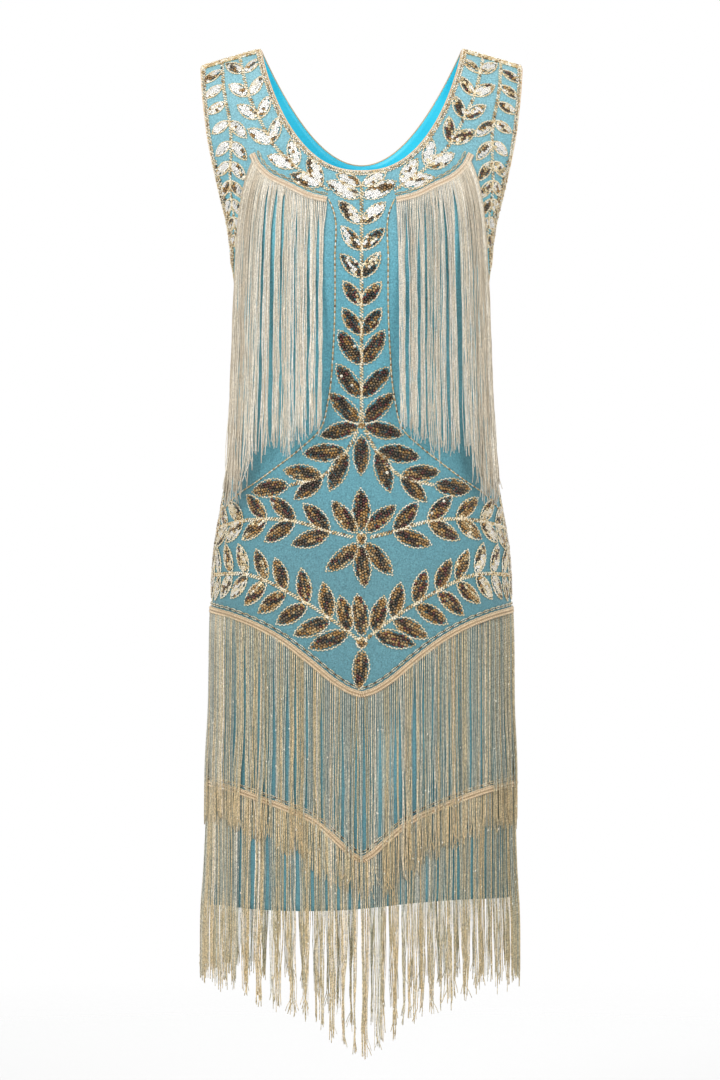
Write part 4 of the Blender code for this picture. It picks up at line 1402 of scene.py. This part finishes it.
def tubes(name, centre, out, radius, tone, made_of, sides=3):
    """Many strands as one mesh: centre + radius (cos(turn) across + sin(turn) out), closed at the ends."""
    along = unit(np.gradient(centre, axis=1))
    across = unit(np.cross(along, out))
    out = np.cross(across, along)
    turn = 2 * math.pi * (np.arange(sides) + 0.5) / sides
    ring = np.cos(turn)[:, None] * across[:, :, None] + np.sin(turn)[:, None] * out[:, :, None]
    points = centre[:, :, None] + radius[:, :, None, None] * ring
    count, steps = centre.shape[:2]
    at = np.arange(count * steps * sides).reshape(count, steps, sides)
    beside = np.roll(at, -1, axis=2)
    walls = np.stack([at[:, 1:], beside[:, 1:], beside[:, :-1], at[:, :-1]], axis=-1).reshape(-1, 4)
    length = np.cumsum(np.linalg.norm(np.diff(centre, axis=1, prepend=centre[:, :1]), axis=-1), axis=1)
    low, high = length[:, 1:, None], length[:, :-1, None]
    v = np.stack(np.broadcast_arrays(low, low, high, high), axis=-1)
    v = np.broadcast_to(v, (count, steps - 1, sides, 4))
    u = (np.arange(sides)[:, None] + np.array([0, 1, 1, 0])) / sides
    u = np.broadcast_to(u, v.shape)
    uv = np.stack([u, v], axis=-1).reshape(-1, 2)
    caps = [at[:, 0], at[:, -1, ::-1]]
    ends = np.zeros((2 * count * sides, 2))
    return piece(
        name,
        points.reshape(-1, 3),
        [walls, *caps],
        [made_of],
        uv=np.concatenate([uv, ends]),
        values={"tone": np.repeat(np.broadcast_to(np.clip(tone, 0, 1), (count, steps)), sides)},
    )


SEWN_AT = 0.7  # how far down a braid its strands start, as a share of its height
LOOP_DRAW = 0.45


def bunched(count, rng, least, most, draw, loop, crowd=1.0):
    """Shares of a heading for its strands: (where each is sewn, where it hangs, which bunch it is in).

    Strands are sewn on as loops of this many, 0.45 of a pitch nearer to each other than to the next, and
    closer together towards the end where crowd is above 1. They hang in bunches of least to most
    neighbours. A bunch draws in about its own middle by draw(share) times a random number from 0.3 to 1.3.
    """
    order = np.arange(count)
    order = order + 0.5 + LOOP_DRAW * ((loop - 1) / 2 - order % loop) + rng.uniform(-0.18, 0.18, count)
    sewn = 1 - (1 - np.clip(order / count, 0, 1)) ** crowd
    bunch = np.repeat(np.arange(count), rng.integers(least, most + 1, count))[:count]
    middle = (np.bincount(bunch, sewn) / np.maximum(np.bincount(bunch), 1))[bunch]
    drawn = np.clip(rng.uniform(0.3, 1.3, count)[bunch] * draw(sewn), 0, 0.85)
    return sewn, sewn + (middle - sewn) * drawn, bunch


def wander(rng, count, fine, size, turns):
    """A sideways wander that grows down each strand, the sum of a slow wave and a quick one."""
    slow, quick = rng.uniform(0, 2 * math.pi, (2, count, 1))
    rate = rng.uniform(0.6, 1.4, (count, 1)) * turns
    wave = rng.normal(0, 1, (count, 1)) * fine**1.3 * np.sin(rate * fine + slow)
    return size * (wave + 0.35 * np.sqrt(fine) * np.sin(3.1 * rate * fine + quick))


def curled(rng, count, fine, size):
    """A sideways curl at the very end of some strands."""
    some = (rng.uniform(0, 1, (count, 1)) < 0.3) * rng.normal(0, 1, (count, 1))
    return size * some * eased(fine, 0.93, 1.0)


GIMP_LIFT = 0.0009
GIMP_THICK = 0.0015
STITCH_PITCH = 0.0015
STITCH_LONG = 0.56  # of the braid's height
STITCH_THICK = 0.0013
STITCH_TURN = 0.6
CORD_PITCH = 0.0022
CORD_BEAD = (0.0030, 0.0013, 0.0013)
CORD_TURN = 0.3
CORD_SWING = 0.0002
CORD_WAVE = 0.0005
HEADING_GAP = 0.0036
HEADING_SWING = 0.0012
HEADING_LOOP = 0.0105
HEADING_LIFT = 0.0010
HEADING_BEAD = (0.0027, 0.0015, 0.0015)
HEADING_BUGLE = (0.0070, 0.0020, 0.0015)
HEADING_BUGLE_LIFT = 0.0014
HEADING_PITCH = 0.0021
HEADING_STEP = 0.002  # for a heading's direction by difference


def gimp(name, angle, height, tall, made_of, rng, slot, bugles=True):
    """A woven braid along a heading: a flat band, two rows of slanting stitches and a corded edge.

    Above it, two strings of beads cross as sine waves, with or without a dark bugle in each loop. The
    heading is the braid's top edge, and the rest is offset from it over the cloth, square to it.
    """
    steps, sides = len(angle), 6
    line = form(angle, height)
    length = lengths(line)

    def beside_line(where, up):
        """(angle, height) of places at these lengths along the heading and this far above it."""
        at, level = read_off(where, length, angle, height)
        ahead = form(*read_off(where + HEADING_STEP, length, angle, height))
        behind = form(*read_off(where - HEADING_STEP, length, angle, height))
        upward = unit(np.cross(normal(at, level), ahead - behind))
        upward = upward * np.sign(upward[..., 2:])
        return slid(at, level, upward * np.expand_dims(up, -1))

    turn = 2 * math.pi * np.arange(sides) / sides
    up = np.broadcast_to((np.cos(turn) - 1) * tall / 2, (steps, sides))
    lift = GIMP_LIFT + GIMP_THICK / 2 * (1 + np.sin(turn)) + np.zeros((steps, 1))
    points = on_cloth(*beside_line(np.broadcast_to(length[:, None], up.shape), up), lift)
    at = np.arange(steps * sides).reshape(steps, sides)
    beside = np.roll(at, -1, axis=1)
    walls = np.stack([at[:-1], at[1:], beside[1:], beside[:-1]], axis=-1).reshape(-1, 4)
    u = np.stack([length[:-1], length[1:], length[1:], length[:-1]], axis=-1)[:, None].repeat(sides, 1)
    v = (np.arange(sides)[:, None] + np.array([0, 0, 1, 1])) / sides
    uv = np.stack([u, np.broadcast_to(v, u.shape)], axis=-1).reshape(-1, 2)
    uv = np.concatenate([uv, np.zeros((2 * sides, 2))])
    faces = [walls, at[:1, ::-1], at[-1:]]
    band = piece(f"{name}_band", points.reshape(-1, 3), faces, [made_of], uv=uv)

    def row(pitch, drop, lift):
        """Places and frames at a pitch along the heading, drop(length) below it."""
        where = np.arange(pitch / 2, length[-1], pitch)
        return sewn_row(*beside_line(where, -drop(where)), lift)

    centre, axes, size, bright = [], [], [], []
    for hand in (1, -1):
        place, frames = row(STITCH_PITCH, lambda at: tall / 2 - hand * tall * 0.25, GIMP_LIFT + GIMP_THICK)
        turn = RIGHT_ANGLE - hand * STITCH_TURN + rng.normal(0, 0.1, len(place))
        bright.append(0.64 + 0.14 * by_turns(len(place)))
        centre.append(place)
        axes.append(leaned(frames, turn))
        size.append(uneven(rng, (tall * STITCH_LONG, STITCH_THICK, STITCH_THICK), len(place), 0.9, 1.1))

    def cord(at):
        return CORD_SWING * np.sin(at / CORD_WAVE)

    place, frames = row(CORD_PITCH, cord, GIMP_LIFT + GIMP_THICK / 2)
    centre.append(place)
    axes.append(leaned(frames, np.full(len(place), CORD_TURN)))
    size.append(np.tile(CORD_BEAD, (len(place), 1)))
    bright = np.concatenate([*bright, np.ones(len(place))])
    tone = bright + rng.normal(0, 0.14, len(bright))
    stitches = stamped(f"{name}_stitches", DROP_BEAD, centre, axes, size, tone, made_of, slot)

    centre, axes, size, tone = [], [], [], []
    for hand in (1, -1):

        def string(at):
            return -HEADING_GAP - hand * HEADING_SWING * np.sin(math.pi * at / HEADING_LOOP)

        place, frames = row(HEADING_PITCH, string, HEADING_LIFT)
        centre.append(place)
        axes.append(frames)
        size.append(uneven(rng, HEADING_BEAD, len(place), 0.9, 1.1))
        tone.append(rng.normal(0.80 if bugles else 0.60, 0.14, len(place)))
    if bugles:
        place, frames = row(HEADING_LOOP, lambda at: -HEADING_GAP, HEADING_BUGLE_LIFT)
        middle = (place[1:] + place[:-1]) / 2
        centre.append(middle)
        axes.append(frames[1:])
        size.append(np.tile(HEADING_BUGLE, (len(middle), 1)))
        tone.append(np.zeros(len(middle)))
    return [band, stitches, stamped(f"{name}_beads", DROP_BEAD, centre, axes, size, tone)]


BUGLE = (0.0040, 0.0016, 0.0016)
BRONZE = (0.0024, 0.0025, 0.0025)
LINE_STEP = 2e-4  # for a line's direction by difference


def bead_line(name, angle, height, lift, rng):
    """A strung line: a long cream bugle and a short bronze bead by turns."""
    length = lengths(form(angle, height))
    period = BUGLE[0] + BRONZE[0]
    count = int(length[-1] / period)
    starts = np.arange(count) * period
    middles = np.concatenate([starts + BUGLE[0] / 2, starts + BUGLE[0] + BRONZE[0] / 2])

    def at(where):
        angles, levels = read_off(where, length, angle, height)
        return on_cloth(angles, levels, lift), normal(angles, levels)

    centre, out = at(middles)
    along = at(middles + LINE_STEP)[0] - at(middles - LINE_STEP)[0]
    size = np.repeat([BUGLE, BRONZE], count, axis=0)
    tone = [rng.normal(0.82, 0.1, count), rng.normal(0.36, 0.1, count)]
    return stamped(name, BEAD_TUBE, centre, framed(along, out), size, tone)


# Bust fringe heading: (x, height) from its inner end outwards
BUST_HEADING = (
    (0.037, -0.1760), (0.055, -0.1715), (0.079, -0.1590), (0.101, -0.1465), (0.1105, -0.1365),
    (0.117, -0.1235),
)
BUST_GIMP_TALL = 0.0075
BUST_STRANDS = 192
BUST_DRAW = 0.56  # how far the strands of a bunch draw together
BUST_CROWD = 1.4  # how much closer the strands are sewn towards the heading's inner end
# (share of the heading from its inner end, where the strand hangs)
BUST_SPREAD = (
    (0.00, 0.041), (0.20, 0.058), (0.45, 0.083), (0.62, 0.103), (0.76, 0.124), (0.88, 0.138),
    (1.00, 0.1485),
)
# (share of the heading, height of the ends)
BUST_ENDS = (
    (0.00, -0.424), (0.12, -0.426), (0.28, -0.436), (0.45, -0.450), (0.60, -0.446),
    (0.72, -0.458), (0.80, -0.486), (1.00, -0.500),
)
# A strand swings out by this share of the way within about this drop, and by the rest further down
BUST_FAN = 0.035
BUST_FAN_SHARE = 0.60
BUST_STEPS = 26
BUST_STRAND = 0.00096
BUST_LIFT = 0.0020


def hang_in_front(x, height, side):
    """How far in front of (or behind) the body a strand is: no less than anywhere above it."""
    half_width, front, back = section(height)
    share = np.clip(np.abs(x) / half_width, 0, 1)
    depth = np.where(side == FRONT, front, back) * (1 - share**SECTION_CURVE) ** (1 / SECTION_CURVE)
    if side == FRONT:
        depth = depth + bust_mound(x, height)
    return np.maximum.accumulate(depth, axis=-1)


def heading_curve(hand, share):
    """(x, height) of a bust heading at shares of its length from the inner end."""
    path = np.array(BUST_HEADING)
    length = lengths(path)
    table = np.column_stack([length / length[-1], path])
    return hand * smooth_table(table, 1, share), smooth_table(table, 2, share)


def bust_fringe(side, hand, seed):
    """The gimp and the strands of one of the four bust fringes.

    A strand swings outwards along (1 - exp(-drop / fan)) and then hangs plumb in front of the form, no
    nearer to it than where the form stands out furthest above.
    """
    label = f"{SIDE_NAME[side]}_{HAND_NAME[hand]}"
    rng = np.random.default_rng(seed)
    share = np.linspace(0, 1, 150)
    x, height = heading_curve(hand, share)
    angle = face_angle(x, height, side)
    way = 1 if (hand > 0) != (side == BACK) else -1
    angle, height = angle[::way], height[::way]
    name = f"bust_gimp_{label}"
    braid = gimp(name, angle, height, BUST_GIMP_TALL, PEACH_GIMP, rng, "bust_fringe", False)

    def draw(at):
        return BUST_DRAW * (1 - 0.92 * eased(at, 0.60, 0.80))

    share, hung, bunch = bunched(BUST_STRANDS, rng, 4, 24, draw, 3, BUST_CROWD)
    x, height = heading_curve(1, share)
    root = height - BUST_GIMP_TALL * SEWN_AT
    end_x = smooth_table(BUST_SPREAD, 1, share)
    stray = (rng.uniform(0, 1, BUST_STRANDS) < 0.16) * (share < 0.8)
    pull = smooth_table(BUST_SPREAD, 1, hung) - end_x + 0.004 * stray * rng.normal(0, 1, BUST_STRANDS)
    opens = rng.uniform(0.05, 0.40, BUST_STRANDS)[bunch][:, None]
    end = smooth_table(BUST_ENDS, 1, share) + rng.normal(0, 0.0075, BUST_STRANDS)
    fine = np.linspace(0, 1, 101)
    drop = (root - end)[:, None] * fine
    swing = BUST_FAN_SHARE * (1 - np.exp(-drop / BUST_FAN)) + (1 - BUST_FAN_SHARE) * fine**2
    path_x = x[:, None] + (end_x - x)[:, None] * swing + pull[:, None] * eased(fine, 0.0, opens)
    path_x = path_x + wander(rng, BUST_STRANDS, fine, 0.0011, 11.0) + curled(rng, BUST_STRANDS, fine, 0.003)
    path_z = root[:, None] - drop
    depth = hang_in_front(path_x, path_z, side)
    at = np.rint(np.linspace(0, 1, BUST_STEPS) ** 1.25 * 100).astype(int)
    px, py, pz = path_x[:, at], depth[:, at], path_z[:, at]
    half_width, front, back = section(pz)
    deep = front if side == FRONT else back
    out_x = np.clip(px / half_width, 0.01, 1) ** (SECTION_CURVE - 1) / half_width
    out_y = np.clip(py / deep, 0.01, None) ** (SECTION_CURVE - 1) / deep
    size = np.hypot(out_x, out_y)
    out = np.stack([hand * out_x / size, side * out_y / size, np.zeros_like(size)], axis=-1)
    outer = eased(share, 0.62, 0.82)[:, None]
    layer = rng.uniform(-0.0007 - 0.0003 * outer, 0.0012, (BUST_STRANDS, 1)) * np.minimum(fine[at] * 8, 1)
    lift = BUST_LIFT + (0.0008 * outer - 0.0004) * np.minimum(fine[at] * 6, 1) + layer
    place = np.stack([hand * px, side * py, pz], axis=-1) + out * lift[..., None]
    thick = BUST_STRAND / 2 * rng.uniform(0.80, 1.15, (BUST_STRANDS, 1)) * np.ones(BUST_STEPS)
    thick = thick * (1 + 0.15 * eased(share, 0.5, 0.8)[:, None])
    tone = rng.normal(0.66, 0.28, BUST_STRANDS) - 0.32 * eased(share, 0.62, 0.85)
    name = f"bust_strands_{label}"
    strands = tubes(name, place, out, thick, tone[:, None], IVORY_YARN)
    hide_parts(f"bust_fringe_{label}")
    return [*braid, strands]


# Skirt headings: (share of the half width, height), from the centre to the side
HIP_HEADING = (
    (0.00, -0.7140), (0.07, -0.7100), (0.15, -0.7020), (0.32, -0.6790), (0.50, -0.6560),
    (0.66, -0.6410), (0.85, -0.6290), (1.00, -0.6230),
)
SKIRT_HEADING = (
    (0.00, -0.8940), (0.05, -0.8890), (0.12, -0.8780), (0.30, -0.8530), (0.48, -0.8390),
    (0.64, -0.8290), (0.85, -0.8190), (1.00, -0.8165),
)
SKIRT_GIMP_TALL = 0.007
SKIRT_DRAW = 0.28
HEM_LINE = ((0.0, -HEM), (1.0, -HEM))
# The heading, the number of strands in each half, the length of a strand at the side seams and at the
# centre, the distances of a strand from the cloth (top, below it, (ends under, ends over), the share
# under, flare at the side), and the line below which the strands' tones are warm, with their tone
TIERS = {
    "hip_fringe": (
        HIP_HEADING,
        400,
        (0.231, 0.216),
        (0.0018, 0.0010, (0.0010, 0.0034), 0.35, 0.0012),
        (SKIRT_HEADING, 0.80),
    ),
    "skirt_fringe": (
        SKIRT_HEADING,
        380,
        (0.212, 0.212),
        (0.0018, 0.0010, (0.0014, 0.0030), 0.5, 0.0056),
        (HEM_LINE, 0.66),
    ),
}
SKIRT_STEPS = 19
SKIRT_STRAND = 0.00098
SKIRT_RADIUS = 0.15  # about, for a sway's angle
FREE_DRAW = 1.70  # how much more a bunch draws together where it hangs free below the hem
# Knots, which show as light specks between the strands
KNOTS = 110
KNOT = (0.0026, 0.0016, 0.0014)
KNOT_LIFT = 0.0010


def even_angles(share, side, height):
    """Angles from one side seam to the other that part the form's girth at a height evenly."""
    start = -RIGHT_ANGLE if side == FRONT else RIGHT_ANGLE
    fine = np.linspace(start, start + math.pi, 721)
    girth = lengths(form(fine, height))
    return np.interp(share * girth[-1], girth, fine)


def skirt_fringe(kind, side, seed):
    """The gimp, the knots and the strands of half a skirt fringe.

    A strand hangs plumb outside the form: its angle draws in towards its bunch's middle on the way
    down, and sways. At the ends, some bunches of the upper tier hang over the lower braid and some are
    caught under it. Below the warm line, the strands' tones draw in towards the warm tone.
    """
    heading, count, long, lift, warm = TIERS[kind]
    label = f"{kind}_{SIDE_NAME[side]}"
    rng = np.random.default_rng(seed)
    girth_at = heading[-1][1]

    def level(angle):
        return smooth_table(heading, 1, np.abs(unit_curve(angle)[0]))

    angle = even_angles(np.linspace(0, 1, 260), side, girth_at)
    braid = gimp(f"{label}_gimp", angle, level(angle), SKIRT_GIMP_TALL, SAND_GIMP, rng, "skirt_fringe")

    def draw(at):
        return SKIRT_DRAW * (1 - 0.85 * eased(np.abs(2 * at - 1), 0.50, 0.85))

    share, hung, bunch = bunched(count, rng, 3, 15, draw, 2)
    angle, hanging = even_angles(share, side, girth_at), even_angles(hung, side, girth_at)
    root = level(angle) - SKIRT_GIMP_TALL * SEWN_AT
    to_side = np.abs(unit_curve(angle)[0])
    drop_long = long[1] + (long[0] - long[1]) * to_side + rng.normal(0, 0.0045, count)
    drop_long = drop_long + rng.normal(0, 0.0035, count)[bunch]
    fine = 1 - (1 - np.linspace(0, 1, SKIRT_STEPS)) ** 1.25
    opens = rng.uniform(0.03, 0.60, count)[bunch][:, None]
    stray = (rng.uniform(0, 1, (count, 1)) < 0.05) * rng.normal(0, 0.0025, (count, 1))
    sway = wander(rng, count, fine, 0.0006, 13.0) + curled(rng, count, fine, 0.003)
    sway = sway + wander(rng, count, fine, 0.0006, 6.0)[bunch] + stray * eased(fine, 0.1, 0.7)
    pz = root[:, None] - drop_long[:, None] * fine
    drawn = eased(fine, 0.0, opens) + FREE_DRAW * eased(-HEM - pz, 0.005, 0.110)
    around = angle[:, None] + (hanging - angle)[:, None] * drawn + sway / SKIRT_RADIUS
    on_body = np.maximum(pz, -HEM)
    out = normal(around, on_body)
    out[..., 2] = 0.0
    out = unit(out)
    under = (rng.uniform(0, 1, count) < lift[3])[bunch][:, None]
    end_lift = np.where(under, lift[2][0], lift[2][1])
    layer = rng.uniform(-0.0005, 0.0007, (count, 1)) * np.minimum(fine * 5, 1)
    away = lift[0] + (lift[1] - lift[0]) * eased(fine, 0.0, 0.3) + layer
    away = away + (end_lift - lift[1]) * eased(fine, 0.45, 0.80)
    away = away + lift[4] * to_side[:, None] ** 6 * np.minimum(fine * 1.6, 1)
    place = form(around, on_body) + out * away[..., None]
    place[..., 2] = pz
    thick = SKIRT_STRAND / 2 * rng.uniform(0.66, 1.15, (count, 1)) * np.ones(SKIRT_STEPS)
    loop = np.arange(count) // 2
    tone = rng.normal(0.46, 0.24, count)[loop][:, None] + rng.normal(0, 0.10, (count, 1))
    tone = tone + 0.30 * (rng.uniform(0, 1, (count, 1)) < 0.12)
    turns_warm = smooth_table(warm[0], 1, to_side)[:, None]
    tone = tone + 0.62 * (warm[1] - tone) * eased(turns_warm - pz, -0.004, 0.006)
    tied = rng.integers(0, count, KNOTS), rng.integers(3, SKIRT_STEPS - 1, KNOTS)
    centre = place[tied] + KNOT_LIFT * out[tied]
    frames = framed(np.tile([0.0, 0.0, 1.0], (KNOTS, 1)), out[tied])
    size = np.array(KNOT) * rng.uniform(0.8, 1.3, (KNOTS, 1))
    white = np.ones(KNOTS)
    knots = stamped(f"{label}_knots", DROP_BEAD, centre, frames, size, white, BEAD, "skirt_fringe")
    strands = tubes(f"{label}_strands", place, out, thick, tone, SAND_YARN)
    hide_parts(label)
    return [*braid, knots, strands]


fringes = {FRONT: [], BACK: []}
for side in SIDE_NAME:
    for hand in HAND_NAME:
        fringes[side] += bust_fringe(side, hand, 300 + 2 * side + hand)
    for seed, kind in ((400, "hip_fringe"), (500, "skirt_fringe")):
        fringes[side] += skirt_fringe(kind, side, seed + side)


# Rows of beads up a side seam: (distance from the seam, top, bottom, slow swing)
SEAM_ROWS = (
    (-0.0021, -0.246, -0.612, 0.0),
    (0.0021, -0.246, -0.612, 0.0),
    (0.0, -0.500, -0.612, 0.0),
    (-0.0080, -0.250, -0.330, 0.0035),
    (-0.0080, -0.250, -0.330, -0.0035),
    (-0.0085, -0.500, -0.610, 0.0042),
    (-0.0085, -0.500, -0.610, -0.0042),
    (0.0085, -0.500, -0.610, 0.0042),
    (0.0085, -0.500, -0.610, -0.0042),
    (-0.0180, -0.504, -0.606, 0.0042),
    (-0.0180, -0.504, -0.606, -0.0042),
)
SEAM_SWING = 0.020
SEAM_PITCH = 0.0014
SEAM_ZIGZAG = 0.0005
SEAM_LIFT = 0.0009
SEAM_BEAD = (0.0031, 0.0023, 0.0021)


def seam_beads(hand, label, seed):
    """Rows of beads down a side seam, and pairs that swing and cross beside it over the hip."""
    rng = np.random.default_rng(seed)
    rows = []
    for off, top, bottom, swing in SEAM_ROWS:
        level = np.arange(bottom, top, SEAM_PITCH)
        way = off + SEAM_ZIGZAG * by_turns(len(level))
        way = hand * (way + swing * np.sin(2 * math.pi * level / SEAM_SWING))
        angle = hand * RIGHT_ANGLE + way / section(level)[1]
        rows.append(sewn_row(angle, level, SEAM_LIFT))
    centre, axes = map(np.concatenate, zip(*rows))
    count = len(centre)
    size = uneven(rng, SEAM_BEAD, count, 0.85, 1.15)
    tone = rng.normal(0.58, 0.24, count)
    return stamped(f"side_seam_beads_{label}", DROP_BEAD, centre, axes, size, tone)


for hand, label in HAND_NAME.items():
    edges.append(seam_beads(hand, label, 230 + hand))


# Princess lines: a strung line from the inner end of each bust heading down to the side
PRINCESS = (
    (0.036, -0.178), (0.031, -0.190), (0.029, -0.245), (0.029, -0.300), (0.031, -0.343),
    (0.036, -0.395), (0.045, -0.428), (0.066, -0.448), (0.092, -0.467), (0.121, -0.485),
    (0.153, -0.500), (0.185, -0.516), (0.208, -0.524),
)
PRINCESS_STEP = 0.001
PRINCESS_LIFT = 0.0008
for side in SIDE_NAME:
    for hand in HAND_NAME:
        rng = np.random.default_rng(600 + 2 * side + hand)
        route = smooth_route(PRINCESS, PRINCESS_STEP)
        angle = turn_at(side, hand * route[:, 0] * (1 if side == FRONT else -1), route[:, 1])
        name = f"princess_line_{SIDE_NAME[side]}_{HAND_NAME[hand]}"
        fringes[side].append(bead_line(name, angle, route[:, 1], PRINCESS_LIFT, rng))


# ---------------------------------------------------------------- floor, light and camera

FLOOR = -1.36
FLOOR_WIDE = 12.0
FLOOR_FADES = (0.9, 2.6)
SENSOR = 36.0
CAMERA_AWAY = 4.0
FRAME_TALL = 1.2096
CAMERA_X = -0.0017
CAMERA_Z = -0.549


def floor():
    """A plain pale floor that fades away before its far edge."""
    bpy.ops.mesh.primitive_plane_add(size=FLOOR_WIDE, location=(0, 0, FLOOR))
    made = bpy.context.object
    made.name = "floor"
    material, tree, shader = finish("pale_floor", 0.8)
    shader.inputs["Base Color"].default_value = (0.86, 0.86, 0.86, 1)
    far = node(tree, "ShaderNodeVectorMath", {0: object_place(tree)}, operation="LENGTH").outputs["Value"]
    tree.links.new(spread(tree, far, *FLOOR_FADES, 1.0, 0.0), shader.inputs["Alpha"])
    made.data.materials.append(material)


def area_light(name, place, size, power, target=(0, 0, -0.5)):
    """A round lamp that is turned to the middle of the dress."""
    data = bpy.data.lights.new(name, "AREA")
    data.shape = "DISK"
    data.size = size
    data.energy = power
    made = bpy.data.objects.new(name, data)
    bpy.context.scene.collection.objects.link(made)
    made.location = place
    away = np.array(place) - np.array(target)
    made.rotation_mode = "QUATERNION"
    made.rotation_quaternion = Vector(away).to_track_quat("Z", "Y")


def studio():
    """A white surround, dimmer as light than as it is seen, and three lamps."""
    world = bpy.data.worlds.new("studio")
    bpy.context.scene.world = world
    world.use_nodes = True
    tree = world.node_tree
    ambient = tree.nodes["Background"]
    ambient.inputs["Color"].default_value = (1, 1, 1, 1)
    ambient.inputs["Strength"].default_value = 0.62
    seen = node(tree, "ShaderNodeBackground", {"Color": (1, 1, 1, 1), "Strength": 1.0})
    mix = node(tree, "ShaderNodeMixShader")
    path = node(tree, "ShaderNodeLightPath")
    shown = maths(tree, "MAXIMUM", path.outputs["Is Camera Ray"], path.outputs["Is Glossy Ray"])
    tree.links.new(shown, mix.inputs[0])
    tree.links.new(ambient.outputs["Background"], mix.inputs[1])
    tree.links.new(seen.outputs["Background"], mix.inputs[2])
    tree.links.new(mix.outputs["Shader"], tree.nodes["World Output"].inputs["Surface"])
    area_light("key", (-1.5, -2.6, 1.2), 1.6, 55)
    area_light("fill", (1.9, -2.4, 0.2), 1.8, 26)
    area_light("rim", (0.4, 2.6, 1.3), 1.8, 40)


def camera():
    """Far in front, level with the middle of the dress, with a long lens."""
    data = bpy.data.cameras.new("camera")
    made = bpy.data.objects.new("camera", data)
    bpy.context.scene.collection.objects.link(made)
    data.sensor_fit = "AUTO"
    data.sensor_width = SENSOR
    data.lens = SENSOR * CAMERA_AWAY / FRAME_TALL
    made.location = (CAMERA_X, -CAMERA_AWAY, CAMERA_Z)
    made.rotation_euler = (RIGHT_ANGLE, 0, 0)
    bpy.context.scene.camera = made


floor()
studio()
camera()
bpy.context.scene.view_settings.view_transform = "Standard"
